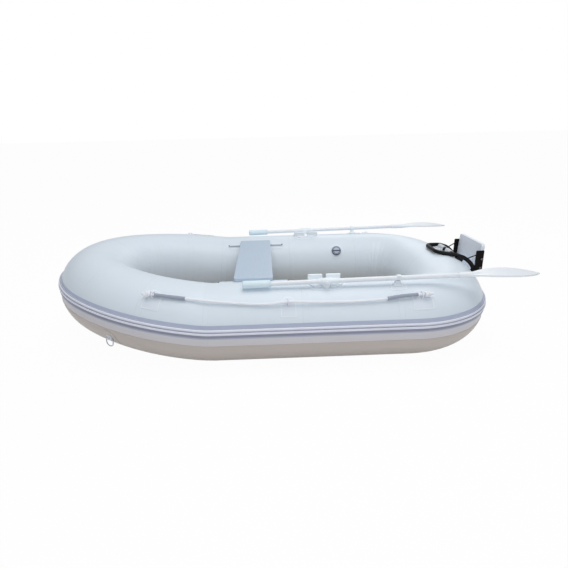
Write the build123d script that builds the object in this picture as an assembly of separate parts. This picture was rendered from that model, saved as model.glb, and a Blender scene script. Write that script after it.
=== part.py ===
from build123d import *
import os
from math import acos, asin, atan2, cos, degrees, pi, radians, sin, sqrt, tan

# Round-stern inflatable dinghy, in millimetres.
# Bow towards -X, stern towards +X, port towards -Y, +Z up. The origin is amidships on the
# centreline, on the underside of the bottom skin. Port pieces are modelled and mirrored.

os.makedirs("parts", exist_ok=True)

# ---- hull: one ring of tube, round at the stern and raised at the bow -------------------
HULL_LENGTH = 2300.0
TUBE_DIAMETER = 370.0
TUBE_SPACING = 963.0            # between the two side tubes' centrelines
STERN_CROWN_RADIUS = 914.0      # centreline arc across the stern
STERN_CROWN_ANGLE = 18.1        # each side of the centreline
SHEER_RADIUS = 620.0            # where the side tubes turn up towards the bow
SHEER_ANGLE = 7.9
BOW_SIDE_RADIUS = 760.0
BOW_SIDE_ANGLE = 38.5
SKIN = 1.2                      # bottom skin and the wrap that it is glued with
WRAP_TOP_ANGLE = -13.5          # outboard edge of the wrap, from the tube's equator
BAFFLE = 1.0                    # cloth wall between the two air chambers
PATCH = 1.2                     # glued patches and tapes
GLUE = 0.3                      # between a glued piece and its seat

# ---- rubbing strake --------------------------------------------------------------------
TAPE_ANGLES = (-1.8, 17.8)
STRIP_ANGLES = (-1.0, 13.2)
STRIP_BASE = 2.6
RIB_ANGLES = (6.0, 10.7)
RIB_RADIUS = 6.2

# ---- slatted floor ---------------------------------------------------------------------
SLAT_COUNT = 8
SLAT_WIDTH = 84.0
SLAT_GAP = 26.0
SLAT_THICKNESS = 9.0
SLAT_TUBE_CLEARANCE = 12.0
SLAT_FIRST = 24.0               # aft of the place where the tubes turn up

# ---- sliding seat ----------------------------------------------------------------------
SEAT_WIDTH = 193.0
SEAT_LENGTH = 780.0
SEAT_THICKNESS = 18.0
SEAT_CORNER = 14.0
SEAT_RAIL_ANGLE = 126.0         # round the tube from its outboard equator
SEAT_RAIL_LENGTH = 338.0
SEAT_RAIL_STANDOFF = 9.0
SEAT_ROD_RADIUS = 3.1
SEAT_ROD_OVERHANG = 7.0
SEAT_FLAP = 0.9                 # cloth round the rod
SEAT_FLAP_HALF_ANGLE = 9.0
RUNNER_LENGTH = 150.0
RUNNER_WALL = 3.6
RUNNER_CLEARANCE = 0.4
RUNNER_FLANGE_WIDTH = 34.0
RUNNER_TUBE_CLEARANCE = 3.0
SEAT_SCREW_SPACING = 110.0
SEAT_SCREW_RADIUS = 2.2
SEAT_SCREW_HEAD_RADIUS = 4.2
SEAT_SCREW_LENGTH = 16.0

# ---- oars and oarlocks -----------------------------------------------------------------
SEAT_TO_LOCK = 338.0
LOCK_TO_CLIP = 330.0
LOCK_ANGLE = 74.2
LOCK_STANDOFF = 30.5            # shaft axis above the tube at the oarlock
OAR_STOW_PITCH = 0.9            # the stowed blade lies this much above the handle
SHAFT_RADIUS = 11.0
SHAFT_WALL = 1.6
HANDLE_REACH = 384.0            # oarlock to the handle's end
GRIP_LENGTH = 130.0
GRIP_RADIUS = 18.0
BLADE_START = 608.0             # oarlock to the blade's socket
BLADE_LENGTH = 377.0
BLADE_WIDTH = 116.0
BLADE_THICKNESS = 7.0
BLADE_SAG_RADIUS = 1500.0       # the spoon of the blade
BLADE_ROLL = -15.8              # the stowed blade lies level
SOCKET_RADIUS = 13.6
SOCKET_LENGTH = 64.0
SHAFT_IN_BLADE = 40.0
COLLAR_RADIUS = 16.0
COLLAR_LENGTH = 48.0
SHAFT_CLEARANCE = 0.3
STOP_RADIUS = 14.4
STOP_LENGTH = 30.0
STOP_RIBS = 3
STOP_GAP = 0.5
LOCK_BASE_THICKNESS = 5.5
LOCK_BASE_LENGTH = 164.0
LOCK_BASE_WIDTH = 110.0
LOCK_BASE_INBOARD = 42.0        # the base lies this much inboard of the pin
LOCK_PIN_RADIUS = 4.0
LOCK_PIN_HEAD_RADIUS = 6.6
LOCK_PIN_HEAD = 2.2
PIN_CLEARANCE = 0.1
COLLAR_FOOT_RADIUS = 18.5
WING_RISE = 30.0                # top of the wings, above the tube's crown
WING_WIDTH = 13.0
WING_NEAR_END = 8.0
WING_FAR_END = 78.0
WING_INBOARD = 84.0
CLAMP_BOSS_RADIUS = 9.0
CLAMP_NUT_RADIUS = 8.0
CLAMP_NUT_HEIGHT = 7.0
CLIP_WIDTH = 18.0
CLIP_WALL = 4.2
CLIP_CLEARANCE = 0.6
CLIP_ARM = 11.0                 # how far each arm reaches past the shaft's axis
CLIP_FOOT_LENGTH = 44.0
CLIP_FOOT_WIDTH = 38.0
CLIP_FOOT_THICKNESS = 4.0
CLIP_NECK = 13.0
CLIP_PAD_LENGTH = 72.0
CLIP_PAD_WIDTH = 66.0

# ---- grab lines ------------------------------------------------------------------------
ROPE_DIAMETER = 12.0
BOW_RING_STATION = 1820.0       # along the tube's centreline from the middle of the stern
MID_RING_X = 70.0
STERN_RING_STATION = 632.0
BOW_RING_ANGLE = 50.0
MID_RING_ANGLE = 46.0
STERN_RING_ANGLE = 50.0
RING_WIRE = 2.5
RING_WIDTH = 30.0
RING_BAR_HEIGHT = 5.2
RING_TOP_HEIGHT = 26.0
RING_CORNER = 5.0
ROPE_HEIGHT = 17.0              # rope axis above the tube where it passes a ring
TAB_THICKNESS = 1.6
TAB_LENGTH = 44.0
TAB_WIDTH = 21.0
KNOT_RADIUS = 13.0
KNOT_LENGTH = 36.0
KNOT_FROM_RING = 24.0
ROPE_TAIL = 16.0
SLEEVE_WALL = 1.7
SLEEVE_CLEARANCE = 0.7

# ---- tow rings under the bow -----------------------------------------------------------
TOW_STATION = 1992.0
TOW_ANGLE = -34.0
TOW_RING_WIDTH = 40.0
TOW_RING_DEPTH = 34.0
TOW_WIRE = 2.6
TOW_BAR_HEIGHT = 8.2

# ---- inflation valves ------------------------------------------------------------------
VALVE_X = 439.0
VALVE_ANGLE = 143.6
VALVE_BARREL_RADIUS = 20.0
VALVE_BORE_RADIUS = 15.0
VALVE_DEPTH = 34.0
VALVE_FLANGE_RADIUS = 31.0
VALVE_FLANGE = 2.6
VALVE_PATCH_RADIUS = 48.0
VALVE_NECK_RADIUS = 21.0
VALVE_NECK = 9.0
VALVE_CAP_RADIUS = 28.0
VALVE_CAP_HEIGHT = 12.0
VALVE_CAP_WALL = 2.6
VALVE_SEAT = 4.0

# ---- removable outboard-motor bracket --------------------------------------------------
FRAME_RADIUS = 11.0
FRAME_WALL = 1.8
LEG_Y = 128.0
FRAME_NOSE_Y = 84.0
CROSSBAR_RADIUS = 9.0
CROSSBAR_SHARE = 0.3135         # aft of the stern tube's crown, as a share of its radius
PLATE_WIDTH = 44.0
PLATE_THICKNESS = 4.0
PLATE_TOP = 402.0
BOARD_TOP = 436.0
BOARD_BOTTOM = 264.0
BOARD_THICKNESS = 18.0
BOARD_LEAN = 3.0
BOARD_CLEARANCE = 0.5
BOARD_CORNER = 16.0
BRACE_RADIUS = 3.0
BOLT_RADIUS = 4.0
BOLT_HEAD_RADIUS = 6.5
BOLT_HEAD = 4.5
BOLT_HEIGHTS = (354.0, 304.0)
SADDLE_WALL = 4.0
SADDLE_WIDTH = 60.0
SADDLE_Y = 47.0
SADDLE_FOOT = 24.0

# ---- what follows from those sizes -----------------------------------------------------
TUBE_R = TUBE_DIAMETER / 2
SIDE_Y = TUBE_SPACING / 2
TUBE_Z = TUBE_R + SKIN
CROWN = radians(STERN_CROWN_ANGLE)
SHEER = radians(SHEER_ANGLE)
BOW_SIDE = radians(BOW_SIDE_ANGLE)
CORNER_RADIUS = (SIDE_Y - STERN_CROWN_RADIUS * sin(CROWN)) / (1 - sin(CROWN))
NOSE_RADIUS = (SIDE_Y - BOW_SIDE_RADIUS * (1 - cos(BOW_SIDE))) / cos(BOW_SIDE)
CROWN_X = HULL_LENGTH / 2 - TUBE_R                      # stern tube's centreline amidships
STERN_X = CROWN_X - CORNER_RADIUS * cos(CROWN) - STERN_CROWN_RADIUS * (1 - cos(CROWN))
BOW_PLANE_LENGTH = BOW_SIDE_RADIUS * sin(BOW_SIDE) + NOSE_RADIUS * (1 - sin(BOW_SIDE))
SHEER_X = TUBE_R - HULL_LENGTH / 2 + BOW_PLANE_LENGTH * cos(SHEER) + SHEER_RADIUS * sin(SHEER)
SIDE_LENGTH = STERN_X - SHEER_X

SEAT_X = SHEER_X + SEAT_RAIL_LENGTH / 2 + 3.0
LOCK_X = SEAT_X + SEAT_TO_LOCK
CLIP_X = LOCK_X + LOCK_TO_CLIP

UP = Vector(0, 0, 1)


class Run:
    """A stretch of the ring's centreline on the port side, going from stern to bow."""

    def __init__(self, length, start, out, up, radius=None, turns_up=False):
        self.length, self.start, self.out, self.up = length, start, out, up
        self.radius, self.turns_up = radius, turns_up
        self.along = out.cross(up)
        if radius:
            towards_centre = up if turns_up else -out
            self.axis = Axis(start + towards_centre * radius, -out if turns_up else -up)

    def frame(self, distance):
        """Centre, outboard and upward directions at a distance along this run."""
        if not self.radius:
            return self.start + self.along * distance, self.out, self.up
        turn = degrees(distance / self.radius)
        centre = self.axis.position
        arm = (self.start - centre).rotate(Axis((0, 0, 0), self.axis.direction), turn)
        spin = Axis((0, 0, 0), self.axis.direction)
        return centre + arm, self.out.rotate(spin, turn), self.up.rotate(spin, turn)

    def sweep(self, section):
        """A flat section, drawn in (outboard, up) from the tube's centre, along this run."""
        face = Plane(self.start, x_dir=self.out, z_dir=self.along) * section
        if self.radius:
            return revolve(face, axis=self.axis, revolution_arc=degrees(self.length / self.radius))
        return extrude(face, amount=self.length, dir=self.along)


def port_runs():
    """The port half of the ring, from the middle of the stern to the middle of the bow."""
    lengths = [
        (STERN_CROWN_RADIUS * CROWN, STERN_CROWN_RADIUS, False),
        (CORNER_RADIUS * (pi / 2 - CROWN), CORNER_RADIUS, False),
        (SIDE_LENGTH, None, False),
        (SHEER_RADIUS * SHEER, SHEER_RADIUS, True),
        (BOW_SIDE_RADIUS * BOW_SIDE, BOW_SIDE_RADIUS, False),
        (NOSE_RADIUS * (pi / 2 - BOW_SIDE), NOSE_RADIUS, False),
    ]
    start, out, up = Vector(CROWN_X, 0, TUBE_Z), Vector(1, 0, 0), UP
    runs = []
    for length, radius, turns_up in lengths:
        runs.append(Run(length, start, out, up, radius, turns_up))
        start, out, up = runs[-1].frame(length)
    return runs


RUNS = port_runs()
HALF_LENGTH = sum(run.length for run in RUNS)


def frame_at(station):
    """Centre, outboard and upward directions at a distance along the port half ring."""
    for run in RUNS:
        if station <= run.length:
            return run.frame(station)
        station -= run.length
    return RUNS[-1].frame(RUNS[-1].length)


def station_of(x):
    """Distance along the ring of a place on the straight side tube."""
    return RUNS[0].length + RUNS[1].length + STERN_X - x


def seat_plane(station, angle, height=0.0):
    """A plane on the port tube: X aft along it, Y up round it, Z straight out of it."""
    centre, out, up = frame_at(station)
    normal = out * cos(radians(angle)) + up * sin(radians(angle))
    return Plane(centre + normal * (TUBE_R + height), x_dir=-out.cross(up), z_dir=normal)


def place(station, angle, height):
    return seat_plane(station, angle, height).origin


def swept(section, runs=RUNS):
    solid = runs[0].sweep(section)
    for run in runs[1:]:
        solid = solid + run.sweep(section)
    return solid


def sector(inner, outer, low, high):
    """A ring segment between two radii and two angles from the outboard equator."""

    def point(radius, angle):
        return radius * cos(radians(angle)), radius * sin(radians(angle))

    middle = (low + high) / 2
    outline = (
        Line(point(inner, low), point(outer, low))
        + ThreePointArc(point(outer, low), point(outer, middle), point(outer, high))
        + Line(point(outer, high), point(inner, high))
        + ThreePointArc(point(inner, high), point(inner, middle), point(inner, low))
    )
    return make_face(outline)


def ring_shell(inner, outer, station):
    """The wall between two radii round the tube, along the run that holds a station."""
    for run in RUNS:
        if station <= run.length:
            return run.sweep(Circle(outer) - Circle(inner))
        station -= run.length


def patch(outline, station, angle, base=GLUE, thickness=PATCH):
    """A cloth patch of the given outline, curved round the tube at one place."""
    inner = TUBE_R + base
    prism = extrude(seat_plane(station, angle) * outline, amount=40, both=True)
    return ring_shell(inner, inner + thickness, station) & prism


def starboard(shape):
    return mirror(shape, about=Plane.XZ)


def mirrored(pieces):
    return [starboard(piece) for piece in pieces]


def keep(name, shapes):
    """Write one node: a single solid, or a group of separate solids."""
    group = shapes if isinstance(shapes, list) else [shapes]
    solids = [solid for shape in group for solid in shape.solids()]
    export_step(solids[0] if len(solids) == 1 else Compound(children=solids), f"parts/{name}.step")


def keep_pair(name, shape):
    """The port piece and its mirror image, each in a node of its own."""
    keep(f"port_{name}", shape)
    keep(f"starboard_{name}", starboard(shape))


# ---- hull ------------------------------------------------------------------------------
def baffles():
    stern = Plane(Vector(CROWN_X, 0, TUBE_Z), z_dir=(0, 1, 0)) * Circle(TUBE_R)
    nose, _, _ = frame_at(HALF_LENGTH)
    bow = Plane(nose, z_dir=(0, 1, 0)) * Circle(TUBE_R)
    return [extrude(disc, amount=BAFFLE / 2, both=True) for disc in (stern, bow)]


def air_chamber():
    tube = swept(Circle(TUBE_R))
    split = Pos(0, 0, TUBE_DIAMETER) * Box(HULL_LENGTH, BAFFLE, 3 * TUBE_DIAMETER)
    pocket = seat_plane(station_of(VALVE_X), VALVE_ANGLE)
    well = pocket * Pos(0, 0, -VALVE_DEPTH / 2) * Cylinder(VALVE_BARREL_RADIUS + GLUE, VALVE_DEPTH + 20)
    return tube - split - well


def bottom_wrap():
    """The skin's border, glued up round the outside of the tubes."""
    half = swept(sector(TUBE_R, TUBE_R + SKIN, -90 + degrees(GLUE / TUBE_R), WRAP_TOP_ANGLE))
    return half + starboard(half)


def bottom_skin():
    crown, corner, side, sheer, bow, nose = RUNS
    drop = -TUBE_Z + SKIN

    def edge(run, offset):
        start, _, _ = run.frame(0)
        middle, _, _ = run.frame(run.length / 2)
        end, _, _ = run.frame(run.length)
        points = [point + run.up * offset for point in (start, middle, end)]
        return ThreePointArc(*points) if run.radius else Line(points[0], points[2])

    stern_edges = edge(crown, -TUBE_R) + edge(corner, -TUBE_R) + edge(side, -TUBE_R)
    start, end = stern_edges @ 0, stern_edges @ 1
    corner_point = Vector(end.X, 0, end.Z)
    flat = make_face(stern_edges + Polyline(end, corner_point, start))
    flat = extrude(flat, amount=SKIN, dir=(0, 0, -1))
    bend_face = Plane(sheer.start, x_dir=sheer.out, z_dir=sheer.along) * (
        Pos(-SIDE_Y / 2, -TUBE_R - SKIN / 2) * Rectangle(SIDE_Y, SKIN)
    )
    bend = revolve(bend_face, axis=sheer.axis, revolution_arc=SHEER_ANGLE)
    bow_edges = edge(bow, -TUBE_R) + edge(nose, -TUBE_R)
    start, end = bow_edges @ 0, bow_edges @ 1
    inner = Vector(start.X, 0, start.Z)
    front = make_face(bow_edges + Polyline(end, inner, start))
    front = extrude(front, amount=SKIN, dir=-bow.up)
    half = flat + bend + front
    return half + starboard(half)


def strake_tape():
    low, high = TAPE_ANGLES
    half = swept(sector(TUBE_R + GLUE, TUBE_R + GLUE + PATCH, low, high))
    return half + starboard(half)


def rubbing_strip():
    seat = TUBE_R + 2 * GLUE + PATCH
    low, high = STRIP_ANGLES
    section = sector(seat, seat + STRIP_BASE, low, high)
    for angle in RIB_ANGLES:
        section += Rot(0, 0, angle) * Pos(seat + STRIP_BASE, 0) * Circle(RIB_RADIUS)
    section -= Circle(seat)
    half = swept(section)
    return half + starboard(half)


def floor_slats():
    reach = SIDE_Y - sqrt(TUBE_R**2 - (TUBE_R - SLAT_THICKNESS) ** 2) - SLAT_TUBE_CLEARANCE
    slats = []
    for number in range(SLAT_COUNT):
        x = SHEER_X + SLAT_FIRST + SLAT_WIDTH / 2 + number * (SLAT_WIDTH + SLAT_GAP)
        blank = Box(SLAT_WIDTH, 2 * reach, SLAT_THICKNESS)
        blank = fillet(blank.edges().filter_by(Axis.Z), SLAT_WIDTH * 0.3)
        slats.append(Pos(x, 0, SKIN + SLAT_THICKNESS / 2) * blank)
    return slats


# ---- seat ------------------------------------------------------------------------------
def rail_centre():
    distance = TUBE_R + SEAT_RAIL_STANDOFF
    return (
        -SIDE_Y - distance * cos(radians(SEAT_RAIL_ANGLE)),
        TUBE_Z + distance * sin(radians(SEAT_RAIL_ANGLE)),
    )


RAIL_Y, RAIL_Z = rail_centre()
ROD_SLEEVE = SEAT_ROD_RADIUS + SEAT_FLAP + 0.05
SEAT_UNDERSIDE = RAIL_Z + ROD_SLEEVE + RUNNER_CLEARANCE + RUNNER_WALL
RAIL_PLANE = Plane((SEAT_X, -SIDE_Y, TUBE_Z), x_dir=(0, -1, 0), z_dir=(-1, 0, 0))


def from_tube_axis(sketch, length):
    """A section drawn in (outboard, up) from the tube's axis, centred on the seat's place."""
    return extrude(RAIL_PLANE * sketch, amount=length / 2, both=True)


def polar(radius, angle):
    return Pos(radius * cos(radians(angle)), radius * sin(radians(angle)))


def seat_flap():
    inner = TUBE_R + GLUE
    rod_at = polar(TUBE_R + SEAT_RAIL_STANDOFF, SEAT_RAIL_ANGLE)
    low, high = (SEAT_RAIL_ANGLE + side * SEAT_FLAP_HALF_ANGLE for side in (-1, 1))
    section = sector(inner, inner + PATCH, low, high)
    web = Rot(0, 0, SEAT_RAIL_ANGLE) * Pos(TUBE_R + SEAT_RAIL_STANDOFF / 2, 0)
    section += web * Rectangle(SEAT_RAIL_STANDOFF, 2 * SEAT_FLAP)
    section += rod_at * Circle(ROD_SLEEVE)
    section -= rod_at * Circle(SEAT_ROD_RADIUS + 0.05)
    section -= Circle(inner)
    return from_tube_axis(section, SEAT_RAIL_LENGTH)


def seat_rod():
    rod = polar(TUBE_R + SEAT_RAIL_STANDOFF, SEAT_RAIL_ANGLE) * Circle(SEAT_ROD_RADIUS)
    return from_tube_axis(rod, SEAT_RAIL_LENGTH + 2 * SEAT_ROD_OVERHANG)


def screw_places():
    y = RAIL_Y + RUNNER_FLANGE_WIDTH / 2 - 6.5
    return [(SEAT_X + side * SEAT_SCREW_SPACING / 2, y) for side in (-1, 1)]


def seat_runner():
    rod_at = polar(TUBE_R + SEAT_RAIL_STANDOFF, SEAT_RAIL_ANGLE)
    bore = ROD_SLEEVE + RUNNER_CLEARANCE
    section = rod_at * Circle(bore + RUNNER_WALL)
    flange_out = -SIDE_Y - RAIL_Y
    flange_up = SEAT_UNDERSIDE - TUBE_Z
    section += Pos(flange_out, flange_up - 3) * Rectangle(RUNNER_FLANGE_WIDTH, 6)
    section &= Pos(flange_out, flange_up - 20) * Rectangle(80, 40)
    neck = Rot(0, 0, SEAT_RAIL_ANGLE) * Pos(TUBE_R, 0) * Rectangle(
        2 * SEAT_RAIL_STANDOFF, 2 * SEAT_FLAP + 2 * RUNNER_CLEARANCE + 1.2
    )
    section -= rod_at * Circle(bore)
    section -= neck
    section -= Circle(TUBE_R + RUNNER_TUBE_CLEARANCE)
    runner = from_tube_axis(section, RUNNER_LENGTH)
    for x, y in screw_places():
        hole = Cylinder(SEAT_SCREW_RADIUS + 0.1, 40)
        runner -= Pos(x, y, SEAT_UNDERSIDE) * hole
        runner -= Pos(x, y, SEAT_UNDERSIDE - 24) * Cylinder(SEAT_SCREW_HEAD_RADIUS + 0.3, 40)
    return runner


def seat_screws():
    screws = []
    for x, y in screw_places():
        head = Pos(x, y, SEAT_UNDERSIDE - 4 - 0.9) * Cylinder(SEAT_SCREW_HEAD_RADIUS, 1.8)
        shank = Cylinder(SEAT_SCREW_RADIUS, SEAT_SCREW_LENGTH)
        shank = Pos(x, y, SEAT_UNDERSIDE - 4 + SEAT_SCREW_LENGTH / 2) * shank
        screws.append(head + shank)
    return screws


def seat_board():
    board = Box(SEAT_WIDTH, SEAT_LENGTH, SEAT_THICKNESS)
    board = fillet(board.edges().filter_by(Axis.Z), SEAT_CORNER)
    board = Pos(SEAT_X, 0, SEAT_UNDERSIDE + SEAT_THICKNESS / 2) * board
    rims = board.faces().filter_by(Axis.Z).edges()
    board = fillet(rims, 3)
    for x, y in screw_places():
        pilot = Pos(x, y, SEAT_UNDERSIDE) * Cylinder(SEAT_SCREW_RADIUS, 2 * SEAT_SCREW_LENGTH - 7.9)
        board -= pilot
        board -= starboard(pilot)
    return board


# ---- oarlock and oar -------------------------------------------------------------------
LOCK_STATION = station_of(LOCK_X)
LOCK_PLANE = seat_plane(LOCK_STATION, LOCK_ANGLE)
LOCK_CENTRE = seat_plane(LOCK_STATION, LOCK_ANGLE, LOCK_STANDOFF).origin
BASE_TOP = GLUE + PATCH + GLUE + LOCK_BASE_THICKNESS


def oar_location():
    """Local frame of an oar: X aft along the shaft, Z out of the tube, at the oarlock."""
    flat = Plane(LOCK_CENTRE, x_dir=LOCK_PLANE.x_dir, z_dir=LOCK_PLANE.z_dir)
    return flat.location * Rot(0, -OAR_STOW_PITCH, 0)


OAR = oar_location()


def along_shaft(sketch, start, length):
    """A section drawn across the shaft, from a distance aft of the oarlock."""
    return OAR * extrude(Plane((start, 0, 0), x_dir=(0, 1, 0), z_dir=(1, 0, 0)) * sketch, amount=length)


def lock_outline(length, width):
    """Bow-tie outline of the oarlock's base: two rounded lobes and a narrower waist."""
    lobe = SlotOverall(length, width)
    waist = Pos(0, width * 1.18) * Circle(width * 0.78)
    return lobe - waist - Rot(0, 0, 180) * waist


def oarlock_patch():
    centred = Pos(0, LOCK_BASE_INBOARD)
    outline = centred * SlotOverall(LOCK_BASE_LENGTH + 30, LOCK_BASE_WIDTH + 26)
    return patch(outline, LOCK_STATION, LOCK_ANGLE)


def oarlock_base():
    """Moulded base that hugs the tube, with a round boss for the pin and two raised wings."""
    low = GLUE + PATCH + GLUE
    outline = Pos(0, LOCK_BASE_INBOARD) * lock_outline(LOCK_BASE_LENGTH, LOCK_BASE_WIDTH)
    base = patch(outline, LOCK_STATION, LOCK_ANGLE, low, LOCK_BASE_THICKNESS)
    boss = LOCK_PLANE * Pos(0, 0, BASE_TOP / 2) * Cylinder(COLLAR_FOOT_RADIUS, BASE_TOP)
    wings = None
    wing_length = WING_FAR_END - WING_NEAR_END
    for side in (-1, 1):
        x = LOCK_X + side * (WING_NEAR_END + wing_length / 2)
        y = LOCK_CENTRE.Y + WING_INBOARD
        bar = extrude(SlotOverall(wing_length, WING_WIDTH), amount=60)
        bar = Pos(x, y, TUBE_Z + TUBE_R + WING_RISE - 60) * bar
        bar = fillet(bar.faces().sort_by(Axis.Z)[-1].edges(), 3.5)
        wings = bar if wings is None else wings + bar
    hull = tube_at_lock(TUBE_R + low)
    base = base + boss + wings - hull
    pin_hole = LOCK_PLANE * Pos(0, 0, BASE_TOP / 2) * Cylinder(LOCK_PIN_RADIUS, BASE_TOP * 2)
    return base - pin_hole


def tube_at_lock(radius):
    """A plain length of the side tube, thick enough to cut what sits on it."""
    return Pos(LOCK_X, -SIDE_Y, TUBE_Z) * Rot(0, 90, 0) * Cylinder(radius, 4 * LOCK_BASE_LENGTH)


def oarlock_pin():
    """Stud that the collar turns on: a shank in the base and a head inside the collar."""
    low = GLUE + PATCH + GLUE + 0.5
    top = LOCK_STANDOFF - SHAFT_RADIUS - SHAFT_CLEARANCE - 0.7
    shank = Pos(0, 0, (low + top) / 2) * Cylinder(LOCK_PIN_RADIUS - 0.02, top - low)
    head = Pos(0, 0, top - LOCK_PIN_HEAD / 2) * Cylinder(LOCK_PIN_HEAD_RADIUS, LOCK_PIN_HEAD)
    return LOCK_PLANE * (shank + head)


def oarlock_collar():
    """Collar round the shaft on a round foot that turns on the base's pin."""
    barrel = along_shaft(Circle(COLLAR_RADIUS), -COLLAR_LENGTH / 2, COLLAR_LENGTH)
    foot_low = BASE_TOP + STOP_GAP
    foot = Pos(0, 0, (foot_low + LOCK_STANDOFF) / 2) * Cylinder(
        COLLAR_FOOT_RADIUS, LOCK_STANDOFF - foot_low
    )
    boss = OAR * Pos(0, -COLLAR_RADIUS, 0) * Rot(90, 0, 0) * Cylinder(CLAMP_BOSS_RADIUS, 10)
    collar = barrel + LOCK_PLANE * foot + boss
    top = LOCK_STANDOFF - SHAFT_RADIUS - SHAFT_CLEARANCE - 0.7
    under = LOCK_PLANE * Pos(0, 0, foot_low - 20) * Box(200, 200, 40)
    bore = along_shaft(Circle(SHAFT_RADIUS + SHAFT_CLEARANCE), -60, 120)
    shank = Cylinder(LOCK_PIN_RADIUS + PIN_CLEARANCE, 60)
    pocket = Cylinder(LOCK_PIN_HEAD_RADIUS + 0.4, 20)
    pocket = Pos(0, 0, top - LOCK_PIN_HEAD - 0.3 + 10) * pocket
    return collar - under - bore - LOCK_PLANE * shank - LOCK_PLANE * pocket


def clamp_nut():
    knob = Circle(CLAMP_NUT_RADIUS)
    for number in range(6):
        knob -= Rot(0, 0, 60 * number) * Pos(CLAMP_NUT_RADIUS * 1.16, 0) * Circle(2.6)
    nut = extrude(knob, amount=CLAMP_NUT_HEIGHT)
    away = COLLAR_RADIUS + 5 + CLAMP_NUT_HEIGHT
    return OAR * Pos(0, -away, 0) * Rot(-90, 0, 0) * nut


def oar_shaft():
    tube = Circle(SHAFT_RADIUS) - Circle(SHAFT_RADIUS - SHAFT_WALL)
    start = -HANDLE_REACH + 12
    return along_shaft(tube, start, BLADE_START + SHAFT_IN_BLADE - start)


def oar_grip():
    """Rounded handle, closed at its end, pushed over the shaft."""
    half = GRIP_LENGTH
    outline = (
        Line((0, 0), (0, GRIP_RADIUS - 6))
        + RadiusArc((0, GRIP_RADIUS - 6), (6, GRIP_RADIUS), 6)
        + Line((6, GRIP_RADIUS), (half - 5, GRIP_RADIUS - 0.8))
        + Line((half - 5, GRIP_RADIUS - 0.8), (half, SHAFT_RADIUS + 0.9))
        + Line((half, SHAFT_RADIUS + 0.9), (half, SHAFT_RADIUS))
        + Line((half, SHAFT_RADIUS), (12, SHAFT_RADIUS))
        + Line((12, SHAFT_RADIUS), (12, 0))
        + Line((12, 0), (0, 0))
    )
    grip = revolve(make_face(outline), axis=Axis.X)
    return OAR * Pos(-HANDLE_REACH, 0, 0) * grip


def blade_outline():
    """Half of the blade's outline, from its socket to its pointed tip, mirrored."""
    half = BLADE_WIDTH / 2
    neck = SOCKET_RADIUS * 0.8
    wide = BLADE_LENGTH * 0.48
    tip = BLADE_LENGTH
    side = (
        Line((20, 0), (20, neck))
        + Spline((20, neck), (wide, half), tangents=[(1, 0.12), (1, 0.05)])
        + ThreePointArc((wide, half), (wide + (tip - wide) * 0.62, half * 0.83), (tip, 0))
        + Line((tip, 0), (20, 0))
    )
    face = make_face(side)
    return face + mirror(face, about=Plane.XZ)


def oar_blade():
    """Shallow spoon on a socket that tapers into a rib down the blade."""
    plan = extrude(blade_outline(), amount=60, both=True)
    top, low = BLADE_SAG_RADIUS + BLADE_THICKNESS / 2, BLADE_SAG_RADIUS - BLADE_THICKNESS / 2
    bow = Pos(BLADE_LENGTH * 0.45, 0, -BLADE_SAG_RADIUS) * Rot(90, 0, 0)
    band = bow * (Cylinder(top, BLADE_WIDTH * 2) - Cylinder(low, BLADE_WIDTH * 2))
    spoon = plan & band
    drop = BLADE_SAG_RADIUS - sqrt(BLADE_SAG_RADIUS**2 - (0.45 * BLADE_LENGTH) ** 2)
    spoon = Pos(0, 0, drop / 2) * spoon
    socket = Rot(0, 90, 0) * Pos(0, 0, SOCKET_LENGTH / 2) * Cylinder(SOCKET_RADIUS, SOCKET_LENGTH)
    rib = Rot(0, 90, 0) * Pos(0, 0, SOCKET_LENGTH + 75) * Cone(SOCKET_RADIUS, 3.4, 150)
    blade = spoon + socket + rib
    blade -= Rot(0, 90, 0) * Pos(0, 0, SHAFT_IN_BLADE / 2) * Cylinder(SHAFT_RADIUS, SHAFT_IN_BLADE)
    return OAR * Pos(BLADE_START, 0, 0) * Rot(BLADE_ROLL, 0, 0) * blade


def oar_stops():
    """Ribbed rubber sleeve aft of the collar and a plain ring ahead of it."""
    inner = Circle(SHAFT_RADIUS)
    start = COLLAR_LENGTH / 2 + STOP_GAP
    rib = STOP_LENGTH / (2 * STOP_RIBS - 1)
    sleeve = along_shaft(Circle(STOP_RADIUS - 1.8) - inner, start, STOP_LENGTH)
    for number in range(STOP_RIBS):
        sleeve += along_shaft(Circle(STOP_RADIUS) - inner, start + 2 * number * rib, rib)
    ring = along_shaft(Circle(STOP_RADIUS - 0.6) - inner, -start - 2 * rib, 2 * rib)
    return [sleeve, ring]


# ---- oar clip --------------------------------------------------------------------------
def clip_centre():
    """Where the stowed shaft crosses the clip: height and place round the tube."""
    point = (OAR * Pos(LOCK_TO_CLIP / cos(radians(OAR_STOW_PITCH)), 0, 0)).position
    out, up = -(point.Y + SIDE_Y), point.Z - TUBE_Z
    return degrees(atan2(up, out)), sqrt(out**2 + up**2) - TUBE_R


CLIP_ANGLE, CLIP_STANDOFF = clip_centre()
CLIP_STATION = station_of(CLIP_X)


def clip_pad():
    outline = Pos(0, -8) * RectangleRounded(CLIP_PAD_LENGTH, CLIP_PAD_WIDTH, 10)
    return patch(outline, CLIP_STATION, CLIP_ANGLE)


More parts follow.
